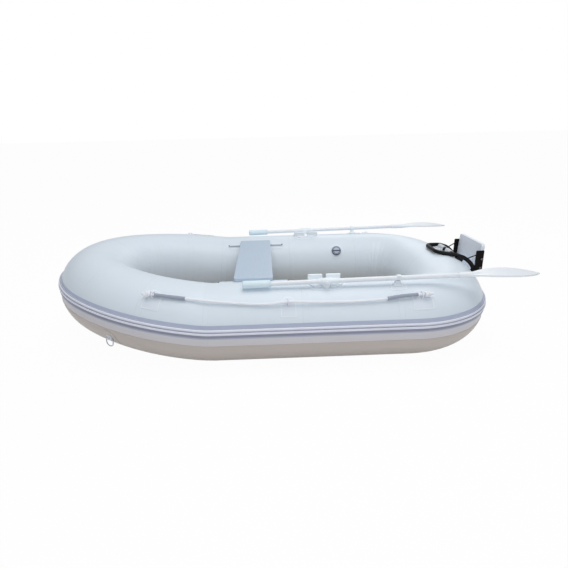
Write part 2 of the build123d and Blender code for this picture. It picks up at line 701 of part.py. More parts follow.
def oar_clip():
    """Side-opening clip: the shaft is swung in from outboard and lies between two arms."""
    low = GLUE + PATCH + GLUE
    bore = SHAFT_RADIUS + CLIP_CLEARANCE
    wall = bore + CLIP_WALL
    centre = seat_plane(CLIP_STATION, LOCK_ANGLE)
    across = Plane(place(CLIP_STATION, CLIP_ANGLE, CLIP_STANDOFF), x_dir=centre.y_dir, z_dir=centre.x_dir)
    # in this section X runs inboard round the tube, and Y runs into the tube
    hook = Circle(wall) + Pos(-CLIP_ARM / 2, 0) * Rectangle(CLIP_ARM, 2 * wall)
    hook -= Circle(bore) + Pos(-CLIP_ARM, 0) * Rectangle(2 * CLIP_ARM, 2 * bore)
    hook &= Pos(CLIP_ARM, 0) * Rectangle(4 * CLIP_ARM, 4 * wall)
    clip = extrude(across * hook, amount=CLIP_WIDTH / 2, both=True)
    foot_plane = seat_plane(CLIP_STATION, CLIP_ANGLE)
    neck_height = CLIP_STANDOFF - bore - 1
    neck = loft(
        [
            foot_plane * Pos(0, 0, 0) * Rectangle(CLIP_FOOT_LENGTH * 0.8, CLIP_NECK * 1.7),
            foot_plane * Pos(0, 0, neck_height) * Rectangle(CLIP_WIDTH, CLIP_NECK),
        ]
    )
    outline = RectangleRounded(CLIP_FOOT_LENGTH, CLIP_FOOT_WIDTH, 8)
    foot = patch(outline, CLIP_STATION, CLIP_ANGLE, low, CLIP_FOOT_THICKNESS)
    tube = Pos(CLIP_X, -SIDE_Y, TUBE_Z) * Rot(0, 90, 0) * Cylinder(TUBE_R + low, 4 * CLIP_FOOT_LENGTH)
    room = along_shaft(Circle(bore), LOCK_TO_CLIP - 60, 120)
    return clip + neck + foot - tube - room


# ---- grab line -------------------------------------------------------------------------
def holders():
    """Station and angle of the three rings of the port grab line, from bow to stern."""
    return [
        (BOW_RING_STATION, BOW_RING_ANGLE),
        (station_of(MID_RING_X), MID_RING_ANGLE),
        (STERN_RING_STATION, STERN_RING_ANGLE),
    ]


def holder_outline():
    """Six-sided patch, taller round the tube than it is long."""
    return make_face(Polyline((-34, 22), (-12, 46), (12, 46), (34, 22), (34, -50), (-34, -50), close=True))


def holder_patch(station, angle):
    return patch(holder_outline(), station, angle - 4)


def ring_tab(station, angle):
    """Webbing folded round the ring's bar and glued down on both sides of it."""
    low = GLUE + PATCH + GLUE
    flat = patch(RectangleRounded(TAB_LENGTH, TAB_WIDTH, 2), station, angle, low, TAB_THICKNESS)
    bar = seat_plane(station, angle, RING_BAR_HEIGHT)
    hole = RING_WIRE + 0.3
    loop = Rot(90, 0, 0) * Cylinder(hole + TAB_THICKNESS, TAB_WIDTH)
    loop -= Rot(90, 0, 0) * Cylinder(hole, TAB_WIDTH + 2)
    clear = Rot(90, 0, 0) * Cylinder(hole, TAB_WIDTH + 2)
    return (flat - bar * clear) + bar * loop - ring_shell_core(station, TUBE_R + low)


def ring_shell_core(station, radius):
    for run in RUNS:
        if station <= run.length:
            return run.sweep(Circle(radius))
        station -= run.length


def d_ring(width, height, corner, wire):
    """A closed bent wire: a straight bar, two short sides and a half-round bail."""
    outline = Pos(0, height / 2) * Rectangle(width, height)
    low = outline.vertices().sort_by(Axis.Y)[:2]
    outline = fillet(low, corner)
    high = outline.vertices().sort_by(Axis.Y)[-2:]
    outline = fillet(high, width / 2 - 0.6)
    path = outline.face().outer_wire()
    start = path @ 0
    section = Plane(start, z_dir=path % 0) * Circle(wire)
    return sweep(section, path=path)


def rope_ring(station, angle):
    """Ring that stands out of the tube across the rope, its bar inside the webbing."""
    ring = d_ring(RING_WIDTH, RING_TOP_HEIGHT - RING_BAR_HEIGHT, RING_CORNER, RING_WIRE)
    upright = seat_plane(station, angle, RING_BAR_HEIGHT)
    plane = Plane(upright.origin, x_dir=upright.y_dir, z_dir=upright.x_dir)
    return plane * ring


def rope_route():
    """Points of the port grab line from its bow knot to its stern knot."""
    mid = station_of(MID_RING_X)
    return [
        place(BOW_RING_STATION + KNOT_FROM_RING - KNOT_LENGTH / 2, BOW_RING_ANGLE - 0.4, ROPE_HEIGHT),
        place(1655, 51.6, 13),
        place(1510, 48.6, 10.5),
        place(1330, 43.6, 10),
        place(mid + 14, MID_RING_ANGLE, ROPE_HEIGHT),
        place(mid - 14, MID_RING_ANGLE, ROPE_HEIGHT),
        place(1080, 44.5, 11.5),
        place(930, 44, 11),
        place(800, 45.4, 12),
        place(715, 49.5, 16),
        place(STERN_RING_STATION - KNOT_FROM_RING + KNOT_LENGTH / 2, STERN_RING_ANGLE + 0.2, ROPE_HEIGHT),
    ]


def turn_radius(before, at, after):
    """Largest arc that two neighbouring runs leave room for."""
    first, second = at - before, after - at
    half_turn = radians(first.get_angle(second)) / 2
    return 0.45 * min(first.length, second.length) / tan(half_turn)


def route_radii(points):
    return [turn_radius(*points[i - 1 : i + 2]) for i in range(1, len(points) - 1)]


ROPE_POINTS = rope_route()
ROPE_RADII = route_radii(ROPE_POINTS)


def tube_along(points, radii, outer, inner=0.0):
    path = FilletPolyline(*points, radius=radii) if len(points) > 2 else Line(*points)
    section = Circle(outer) - Circle(inner) if inner else Circle(outer)
    return sweep(Plane(path @ 0, z_dir=path % 0) * section, path=path), path.length


def between(first, second, share):
    return first + (second - first) * share


def rope_sleeves():
    """Soft tubes over the rope behind the bow ring and ahead of the stern ring."""
    inner = ROPE_DIAMETER / 2 + SLEEVE_CLEARANCE
    outer = inner + SLEEVE_WALL
    first, second = ROPE_POINTS[0], ROPE_POINTS[1]
    bow, _ = tube_along([between(first, second, 0.10), between(first, second, 0.78)], [], outer, inner)
    before, at, after = ROPE_POINTS[-3:]
    ends = [between(before, at, 0.16), at, between(at, after, 0.84)]
    stern, _ = tube_along(ends, [ROPE_RADII[-1]], outer, inner)
    return [bow, stern]


def rope_knot(end, inward):
    """Plain barrel for the stopper knot that keeps the rope in its end ring."""
    outline = (
        Line((0, 0), (0, ROPE_DIAMETER / 2))
        + ThreePointArc(
            (0, ROPE_DIAMETER / 2), (KNOT_LENGTH / 2, KNOT_RADIUS), (KNOT_LENGTH, ROPE_DIAMETER / 2)
        )
        + Line((KNOT_LENGTH, ROPE_DIAMETER / 2), (KNOT_LENGTH, 0))
        + Line((KNOT_LENGTH, 0), (0, 0))
    )
    knot = revolve(make_face(outline), axis=Axis.X)
    tail = Pos(KNOT_LENGTH + ROPE_TAIL / 2, 0, 0) * Rot(0, 90, 0) * Cylinder(ROPE_DIAMETER / 2, ROPE_TAIL)
    outward = -inward
    plane = Plane(end, x_dir=outward, z_dir=outward.cross(UP))
    return plane * (knot + tail)


# ---- tow ring --------------------------------------------------------------------------
TOW_TAB_BASE = SKIN + GLUE + PATCH + GLUE


def tow_patch():
    return patch(holder_outline(), TOW_STATION, TOW_ANGLE + 3, SKIN + GLUE)


def tow_plane():
    """Where the tow ring hangs: its bar lies along the tube and the ring hangs straight down."""
    seat = seat_plane(TOW_STATION, TOW_ANGLE, TOW_BAR_HEIGHT)
    bar = seat.x_dir
    down = (-UP - bar * (-UP).dot(bar)).normalized()
    return Plane(seat.origin, x_dir=bar, z_dir=bar.cross(down))


def tow_ring():
    return tow_plane() * d_ring(TOW_RING_WIDTH, TOW_RING_DEPTH, RING_CORNER, TOW_WIRE)


def tow_tab():
    low = TOW_TAB_BASE
    outline = RectangleRounded(TAB_WIDTH, TAB_LENGTH * 1.3, 2)
    flat = patch(outline, TOW_STATION, TOW_ANGLE, low, TAB_THICKNESS)
    bar = seat_plane(TOW_STATION, TOW_ANGLE, TOW_BAR_HEIGHT)
    hole = TOW_WIRE + 0.4
    turn = Rot(0, 90, 0)
    loop = turn * (Cylinder(hole + TAB_THICKNESS, TAB_WIDTH) - Cylinder(hole, TAB_WIDTH + 2))
    stalk_height = TOW_BAR_HEIGHT - hole - low
    stalk = Pos(0, 0, low + GLUE + stalk_height / 2) * Box(TAB_WIDTH, 2 * TAB_THICKNESS, stalk_height)
    on_hull = seat_plane(TOW_STATION, TOW_ANGLE)
    return flat + bar * loop + (on_hull * stalk - bar * turn * Cylinder(hole, TAB_WIDTH + 2))


# ---- valves ----------------------------------------------------------------------------
VALVE_STATION = station_of(VALVE_X)
VALVE_PLANE = seat_plane(VALVE_STATION, VALVE_ANGLE)
VALVE_SEAT_HEIGHT = GLUE + PATCH + GLUE


def valve_patch():
    ring = Circle(VALVE_PATCH_RADIUS) - Circle(VALVE_BARREL_RADIUS + GLUE)
    return patch(ring, VALVE_STATION, VALVE_ANGLE)


def valve_body():
    """Flange on the tube, a barrel into the chamber and a neck that the cap turns on."""
    top = VALVE_SEAT_HEIGHT + VALVE_FLANGE
    flange = Pos(0, 0, top / 2) * Cylinder(VALVE_FLANGE_RADIUS, top)
    flange -= VALVE_PLANE.location.inverse() * tube_at_valve(TUBE_R + VALVE_SEAT_HEIGHT)
    barrel = Pos(0, 0, (top - VALVE_DEPTH + 2) / 2) * Cylinder(VALVE_BARREL_RADIUS, VALVE_DEPTH - 2 + top)
    neck = Pos(0, 0, top + VALVE_NECK / 2) * Cylinder(VALVE_NECK_RADIUS, VALVE_NECK)
    bore = Pos(0, 0, VALVE_SEAT + 30) * Cylinder(VALVE_BORE_RADIUS, 2 * VALVE_DEPTH)
    throat = Cylinder(VALVE_BORE_RADIUS - 4, 4 * VALVE_DEPTH)
    return VALVE_PLANE * (flange + barrel + neck - bore - throat)


def tube_at_valve(radius):
    return Pos(VALVE_X, -SIDE_Y, TUBE_Z) * Rot(0, 90, 0) * Cylinder(radius, 300)


def valve_poppet():
    """Diaphragm disc on a stem, closed against the seat inside the barrel."""
    disc_low = VALVE_SEAT + 30 - VALVE_DEPTH
    disc = Pos(0, 0, disc_low + 1.5) * Cylinder(VALVE_BORE_RADIUS - 0.6, 3)
    stem = Pos(0, 0, disc_low + 8) * Cylinder(3, 12)
    return VALVE_PLANE * (disc + stem)


def valve_cap():
    """Round cap over the neck, with a raised bar across it to turn it by."""
    low = VALVE_SEAT_HEIGHT + VALVE_FLANGE + 0.4
    shell = Pos(0, 0, low + VALVE_CAP_HEIGHT / 2) * Cylinder(VALVE_CAP_RADIUS, VALVE_CAP_HEIGHT)
    shell = fillet(shell.edges().sort_by(Axis.Z)[-1], 2.4)
    inside = VALVE_CAP_HEIGHT - VALVE_CAP_WALL
    shell -= Pos(0, 0, low + inside / 2) * Cylinder(VALVE_NECK_RADIUS + 0.4, inside)
    dish = Pos(0, 0, low + VALVE_CAP_HEIGHT) * Cylinder(VALVE_CAP_RADIUS - 5, 2.4)
    bar = Pos(0, 0, low + VALVE_CAP_HEIGHT) * Box(2 * VALVE_CAP_RADIUS - 9, 7, 2.4)
    return VALVE_PLANE * (shell - dish + bar)


# ---- motor bracket ---------------------------------------------------------------------
def crown_x(y):
    """Centreline of the stern tube at a distance off the middle."""
    return CROWN_X - STERN_CROWN_RADIUS + sqrt(STERN_CROWN_RADIUS**2 - y**2)


def on_stern(y, share, height):
    """A point above the stern tube: a share of its radius aft of its crown, height clear of it."""
    offset = share * TUBE_R
    lift = sqrt((TUBE_R + height) ** 2 - offset**2)
    return Vector(crown_x(y) + offset, -y, TUBE_Z + lift)


def leg_points():
    """Port half of the bent frame tube, from the middle of its closed end to its foot."""
    clear = FRAME_RADIUS + 5
    return [
        on_stern(0, -0.162, clear),
        on_stern(FRAME_NOSE_Y, -0.14, clear),
        on_stern(LEG_Y - 14, 0.335, clear),
        on_stern(LEG_Y, 0.649, clear + 12),
        on_stern(LEG_Y, 0.908, clear + 14),
        on_stern(LEG_Y, 0.9946, clear + 1),
    ]


def frame_path():
    port = leg_points()
    other = [Vector(point.X, -point.Y, point.Z) for point in port[:0:-1]]
    points = other + port[1:]
    radii = [min(turn_radius(*points[i - 1 : i + 2]), 130) for i in range(1, len(points) - 1)]
    return FilletPolyline(*points, radius=radii)


def bracket_frame():
    """Bent tube that lies over the stern, with the cross tube and two thin braces welded in."""
    path = frame_path()
    ring = Circle(FRAME_RADIUS) - Circle(FRAME_RADIUS - FRAME_WALL)
    tube = sweep(Plane(path @ 0, z_dir=path % 0) * ring, path=path)
    solid = sweep(Plane(path @ 0, z_dir=path % 0) * Circle(FRAME_RADIUS), path=path)
    bar = crossbar()
    braces = None
    for side in (-1, 1):
        brace = brace_rod(side)
        braces = brace if braces is None else braces + brace
    return tube + (bar - solid) + (braces - solid)


def crossbar():
    centre = on_stern(0, CROSSBAR_SHARE, CROSSBAR_RADIUS + 5)
    half = LEG_Y - 16
    bar = Rot(90, 0, 0) * Cylinder(CROSSBAR_RADIUS, 2 * half)
    return Pos(centre.X, 0, centre.Z) * bar


PLATE_INNER_Y = LEG_Y + FRAME_RADIUS


def plate_x():
    return leg_points()[-1].X + FRAME_RADIUS - PLATE_WIDTH / 2 + 25


def brace_rod(side):
    start = on_stern(LEG_Y, 0.708, FRAME_RADIUS + 17)
    end = Vector(plate_x() - PLATE_WIDTH / 2 + 6, -PLATE_INNER_Y, PLATE_TOP - 24)
    if side > 0:
        start, end = Vector(start.X, -start.Y, start.Z), Vector(end.X, -end.Y, end.Z)
    axis = end - start
    rod = extrude(Plane(start, z_dir=axis) * Circle(BRACE_RADIUS), amount=axis.length)
    return rod


def bracket_plate():
    """Flat upright bolted to the board's edge and welded to the frame's leg."""
    low = leg_points()[-1].Z - 2
    height = PLATE_TOP - low
    plate = Box(PLATE_WIDTH, PLATE_THICKNESS, height)
    plate = fillet(plate.edges().filter_by(Axis.Y), 5)
    plate = Pos(plate_x(), -PLATE_INNER_Y - PLATE_THICKNESS / 2, low + height / 2) * plate
    for bolt in bolt_holes(BOLT_RADIUS):
        plate -= bolt
    return plate - brace_rod(-1)


def bolt_x():
    return leg_points()[-1].X + FRAME_RADIUS + 1 + BOARD_THICKNESS / 2


def bolt_holes(radius):
    centre_y = -PLATE_INNER_Y + 14
    return [
        Pos(board_centre_x(z), centre_y, z) * Rot(90, 0, 0) * Cylinder(radius, 60) for z in BOLT_HEIGHTS
    ]


def board_centre_x(z):
    return bolt_x() + (z - BOARD_BOTTOM) * tan(radians(BOARD_LEAN))


def bracket_bolts():
    bolts = []
    for z in BOLT_HEIGHTS:
        length = PLATE_THICKNESS + 26
        y = -PLATE_INNER_Y - PLATE_THICKNESS
        shank = Pos(board_centre_x(z), y + length / 2, z) * Rot(90, 0, 0) * Cylinder(BOLT_RADIUS, length)
        head = extrude(RegularPolygon(BOLT_HEAD_RADIUS, 6), amount=BOLT_HEAD)
        head = Pos(board_centre_x(z), y, z) * Rot(90, 0, 0) * head
        bolts.append(shank + head)
    return bolts


def motor_board():
    """Plywood pad that the motor clamps on, with rounded corners."""
    width = 2 * (PLATE_INNER_Y - BOARD_CLEARANCE)
    height = (BOARD_TOP - BOARD_BOTTOM) / cos(radians(BOARD_LEAN))
    board = Box(BOARD_THICKNESS, width, height)
    board = fillet(board.edges().filter_by(Axis.X), BOARD_CORNER)
    board = fillet(board.faces().filter_by(Axis.X).edges(), 2)
    board = Pos(bolt_x(), 0, BOARD_BOTTOM) * Rot(0, BOARD_LEAN, 0) * Pos(0, 0, height / 2) * board
    for bolt in bracket_bolts():
        board = board - bolt - starboard(bolt)
    return board


def frame_solid():
    path = frame_path()
    return sweep(Plane(path @ 0, z_dir=path % 0) * Circle(FRAME_RADIUS + 0.05), path=path)


def stern_tube(radius):
    crown, corner = RUNS[0], RUNS[1]
    half = crown.sweep(Circle(radius)) + corner.sweep(Circle(radius))
    return half


def bracket_feet():
    """Rubber blocks between the frame's legs and the stern tube."""
    feet = []
    leg = frame_solid()
    hull = stern_tube(TUBE_R + GLUE)
    for share, size in ((0.519, 38), (0.957, 22)):
        at = on_stern(LEG_Y - 4, share, FRAME_RADIUS + 6)
        lean = degrees(asin(share * TUBE_R / (TUBE_R + FRAME_RADIUS + 6)))
        block = Box(size, size * 0.8, 2 * FRAME_RADIUS + 22)
        block = fillet(block.edges().filter_by(Axis.Z), 5)
        block = Pos(at.X, at.Y, at.Z) * Rot(0, lean, 0) * Pos(0, 0, -FRAME_RADIUS) * block
        feet.append(block - leg - hull)
    return feet


def saddle():
    """Cloth saddle glued on the stern tube, closed over the frame's cross tube."""
    centre = on_stern(0, CROSSBAR_SHARE, CROSSBAR_RADIUS + 5)
    lean = -degrees(atan2(CROSSBAR_SHARE * TUBE_R, centre.Z - TUBE_Z))
    inner = CROSSBAR_RADIUS + GLUE
    outer = inner + SADDLE_WALL
    section = Circle(outer) + Pos(0, -15) * Rectangle(2 * outer, 30)
    section += Pos(0, -outer - 3) * Rectangle(2 * outer + 2 * SADDLE_FOOT, 10)
    section -= Circle(inner)
    plane = Plane((centre.X, -SADDLE_Y, centre.Z), x_dir=(1, 0, 0), z_dir=(0, -1, 0))
    body = extrude(plane * (Rot(0, 0, lean) * section), amount=SADDLE_WIDTH / 2, both=True)
    low = TUBE_R + GLUE
    tall = TUBE_R + GLUE + 2 * PATCH
    skirt = RUNS[0].sweep(Circle(TUBE_R + CROSSBAR_RADIUS * 2 + 14) - Circle(low))
    foot_cut = RUNS[0].sweep(Circle(TUBE_R + 40) - Circle(tall))
    over_bar = extrude(
        plane * (Rot(0, 0, lean) * (Pos(0, -10) * Rectangle(2 * outer, 60))), amount=SADDLE_WIDTH, both=True
    )
    return (body & skirt) - (foot_cut - over_bar)


# ---- write every sub-part --------------------------------------------------------------
def main():
    keep_pair("air_chamber", air_chamber())
    keep("chamber_baffles", baffles())
    keep("bottom_skin", bottom_skin())
    keep("bottom_wrap", bottom_wrap())
    keep("strake_tape", strake_tape())
    keep("rubbing_strake", rubbing_strip())
    keep("floor_slats", floor_slats())

    keep_pair("seat_flap", seat_flap())
    keep_pair("seat_rod", seat_rod())
    keep_pair("seat_runner", seat_runner())
    screws = seat_screws()
    keep("seat_screws", screws + mirrored(screws))
    keep("seat_board", seat_board())

    keep_pair("oarlock_patch", oarlock_patch())
    keep_pair("oarlock_base", oarlock_base())
    keep_pair("oarlock_pin", oarlock_pin())
    keep_pair("oarlock_collar", oarlock_collar())
    keep_pair("oarlock_nut", clamp_nut())
    keep_pair("oar_shaft", oar_shaft())
    keep_pair("oar_grip", oar_grip())
    keep_pair("oar_blade", oar_blade())
    stops = oar_stops()
    keep("port_oar_stops", stops)
    keep("starboard_oar_stops", mirrored(stops))
    keep_pair("oar_clip", oar_clip())
    pad = clip_pad()
    keep("oar_clip_pads", [pad, starboard(pad)])

    patches = [holder_patch(*holder) for holder in holders()]
    tabs = [ring_tab(*holder) for holder in holders()]
    rings = [rope_ring(*holder) for holder in holders()]
    for name, pieces in (("patches", patches), ("webbing", tabs), ("rings", rings)):
        keep(f"grab_line_{name}", pieces + mirrored(pieces))
    sleeves = rope_sleeves()
    keep("grab_line_sleeves", sleeves + mirrored(sleeves))
    knots = [
        rope_knot(ROPE_POINTS[0], (ROPE_POINTS[1] - ROPE_POINTS[0]).normalized()),
        rope_knot(ROPE_POINTS[-1], (ROPE_POINTS[-2] - ROPE_POINTS[-1]).normalized()),
    ]
    keep("grab_line_knots", knots + mirrored(knots))
    rope, length = tube_along(ROPE_POINTS, ROPE_RADII, ROPE_DIAMETER / 2)
    keep_pair("grab_line", rope)
    print("grab line arc radii", [round(radius) for radius in ROPE_RADII])
    print("grab line length", round(length), "volume ratio", rope.volume / (pi * 36 * length))

    tow = tow_patch()
    keep("tow_ring_patches", [tow, starboard(tow)])
    tab = tow_tab()
    keep("tow_ring_webbing", [tab, starboard(tab)])
    keep_pair("tow_ring", tow_ring())

    ring = valve_patch()
    keep("valve_patches", [ring, starboard(ring)])
    keep_pair("valve_body", valve_body())
    poppet = valve_poppet()
    keep("valve_poppets", [poppet, starboard(poppet)])
    keep_pair("valve_cap", valve_cap())

    keep("bracket_frame", bracket_frame())
    plate = bracket_plate()
    keep("bracket_plates", [plate, starboard(plate)])
    keep("bracket_board", motor_board())
    bolts = bracket_bolts()
    keep("bracket_bolts", bolts + mirrored(bolts))
    feet = bracket_feet()
    keep("bracket_feet", feet + mirrored(feet))
    strap = saddle()
    keep("bracket_saddles", [strap, starboard(strap)])


main()
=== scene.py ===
import math

import bpy
from mathutils import Matrix, Vector


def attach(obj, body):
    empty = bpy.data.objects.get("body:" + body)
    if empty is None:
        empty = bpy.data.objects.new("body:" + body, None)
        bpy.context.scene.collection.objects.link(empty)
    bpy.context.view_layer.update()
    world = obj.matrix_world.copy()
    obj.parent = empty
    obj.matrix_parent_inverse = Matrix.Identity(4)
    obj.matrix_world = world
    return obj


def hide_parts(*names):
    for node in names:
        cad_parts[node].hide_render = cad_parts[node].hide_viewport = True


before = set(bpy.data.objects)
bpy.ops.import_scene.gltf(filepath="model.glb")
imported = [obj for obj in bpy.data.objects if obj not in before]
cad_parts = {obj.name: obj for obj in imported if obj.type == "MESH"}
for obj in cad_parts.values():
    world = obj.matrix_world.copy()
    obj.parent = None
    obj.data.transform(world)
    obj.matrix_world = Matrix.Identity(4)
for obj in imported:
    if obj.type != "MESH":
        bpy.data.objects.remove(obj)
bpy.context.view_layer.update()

# ---- sizes shared with the frame, in metres ---------------------------------------------
TUBE_RADIUS = 0.185
TUBE_HEIGHT = 0.1862
CROWN_X = 0.965
CROWN_CENTRE = (0.051, 0.0, TUBE_HEIGHT)
CROWN_TURN = math.radians(18.1)
QUARTER_CENTRE = (0.64738, -0.19493, TUBE_HEIGHT)
QUARTER_TURN = math.radians(71.9)
SIDE_LENGTH = 0.90743
SHEER_CENTRE = (-0.26005, -0.4815, 0.8062)
SHEER_TURN = math.radians(7.9)
BOW_CENTRE = (-0.34527, 0.2785, 0.19208)
BOW_TURN = math.radians(38.5)
NOSE_CENTRE = (-0.5647, 0.0, 0.22253)
NOSE_TURN = math.radians(51.5)
BOW_AXIS = (-0.1374445, 0.0, -0.9905095)
DOWN = (0, 0, -1)
STARBOARD = (0, 1, 0)

# The port half ring's six runs, from the middle of the stern to the nose. The third is the
# straight side; each of the others turns about a centre and an axis.
RUN_LENGTHS = (0.28874, 0.35962, SIDE_LENGTH, 0.08549, 0.51068, 0.36326)
RUN_STEPS = (16, 48, 30, 5, 26, 40)
BENDS = (
    (CROWN_CENTRE, DOWN, CROWN_TURN),
    (QUARTER_CENTRE, DOWN, QUARTER_TURN),
    None,
    (SHEER_CENTRE, STARBOARD, SHEER_TURN),
    (BOW_CENTRE, BOW_AXIS, BOW_TURN),
    (NOSE_CENTRE, BOW_AXIS, NOSE_TURN),
)
MERGE_DISTANCE = 0.0004
GLUE = 0.0003
CLOTH = 0.0012
SIDES = (("port", 1), ("starboard", -1))
SEAMS = (0.0, 0.43, 0.72, 1.15, 1.60, 1.86, 2.12, 2.38)     # along the half ring

# Places on the tube: distance along the half ring, then degrees up from the outboard equator.
RINGS = ((1.820, 50.0), (1.22573, 46.0), (0.632, 50.0))
TOW_RING = (1.992, -34.0)
VALVE = (0.85673, 143.6)
LOCK = (1.04579, 74.2)
CLIP = (0.71579, 74.2)
SEAT_ROD = (1.38379, 126.0)
SADDLE = (0.0470, 90 - 16.95)
WRAP_ANGLES = (-89.9, -13.5)
TAPE_ANGLES = (-1.8, 17.8)

STRAKE_GAP = 0.0018             # from the tube to the strake's back
STRAKE_BASE = 0.0026
STRAKE_LOW, STRAKE_HIGH = -1.0, 13.2
RIB_ANGLES = (6.0, 10.7)
RIB_RADIUS = 0.0061

WEBBING_WIDTH = 0.021
WEBBING_THICKNESS = 0.0015
SEAT_SLEEVE_LENGTH = 0.338
SEAT_SLEEVE_THICKNESS = 0.0009
SADDLE_LENGTH = 0.060
SADDLE_THICKNESS = 0.0036
ROPE_RADIUS = 0.006
BOW_SLEEVE = (0.014, 0.156)     # from the rope's bow end
STERN_SLEEVE = (0.168, 0.022)   # from its stern end

CAMERA_PLACE = Vector((-0.0215, -2.377, 1.0358))
CAMERA_YAW, CAMERA_PITCH, CAMERA_ROLL = 0.0269, 0.3401, -0.0236
CAMERA_LENS, CAMERA_FILM = 27.14, 36.0
CAMERA_SHIFT = (0.0107, 0.0006)


# ---- camera and lamps -------------------------------------------------------------------
def set_camera():
    forward = Vector((
        math.sin(CAMERA_YAW) * math.cos(CAMERA_PITCH),
        math.cos(CAMERA_YAW) * math.cos(CAMERA_PITCH),
        -math.sin(CAMERA_PITCH),
    ))
    level = Vector((math.cos(CAMERA_YAW), -math.sin(CAMERA_YAW), 0.0))
    upright = level.cross(forward)
    right = level * math.cos(CAMERA_ROLL) + upright * math.sin(CAMERA_ROLL)
    up = upright * math.cos(CAMERA_ROLL) - level * math.sin(CAMERA_ROLL)
    data = bpy.data.cameras.new("camera")
    data.lens, data.sensor_width = CAMERA_LENS, CAMERA_FILM
    data.shift_x, data.shift_y = CAMERA_SHIFT
    camera = bpy.data.objects.new("camera", data)
    bpy.context.scene.collection.objects.link(camera)
    camera.rotation_mode = "QUATERNION"
    turned = Matrix((right, up, -forward)).transposed()
    camera.matrix_world = Matrix.Translation(CAMERA_PLACE) @ turned.to_4x4()
    bpy.context.scene.camera = camera


def area_lamp(name, place, target, size, power, colour):
    data = bpy.data.lights.new(name, "AREA")
    data.shape = "RECTANGLE"
    data.size, data.size_y = size
    data.energy = power
    data.color = colour
    lamp = bpy.data.objects.new(name, data)
    bpy.context.scene.collection.objects.link(lamp)
    lamp.location = place
    lamp.rotation_euler = (Vector(target) - Vector(place)).to_track_quat("-Z", "Y").to_euler()


# ---- finishes ---------------------------------------------------------------------------
WHITE = (1.0, 1.0, 1.0, 1.0)


def paint(red, green, blue):
    """A colour given in 0-255 screen steps, as the linear colour a shader wants."""
    def linear(step):
        share = step / 255
        return share / 12.92 if share <= 0.04045 else ((share + 0.055) / 1.055) ** 2.4

    return linear(red), linear(green), linear(blue), 1.0


class Amount:
    """A number that varies over a surface; sums on it add the nodes they need."""

    def __init__(self, finish, socket):
        self.finish, self.socket = finish, socket

    def math(self, operation, *others):
        return self.finish.math(operation, self, *others)

    def __add__(self, other):
        return self.math("ADD", other)

    __radd__ = __add__

    def __mul__(self, other):
        return self.math("MULTIPLY", other)

    __rmul__ = __mul__

    def __sub__(self, other):
        return self.math("SUBTRACT", other)

    def __rsub__(self, other):
        return self.finish.math("SUBTRACT", other, self)

    def __pow__(self, other):
        return self.math("POWER", other)

    def size(self):
        return self.math("ABSOLUTE")

    def wave(self):
        return self.math("SINE")

    def least(self, other):
        return self.math("MINIMUM", other)

    def most(self, other):
        return self.math("MAXIMUM", other)


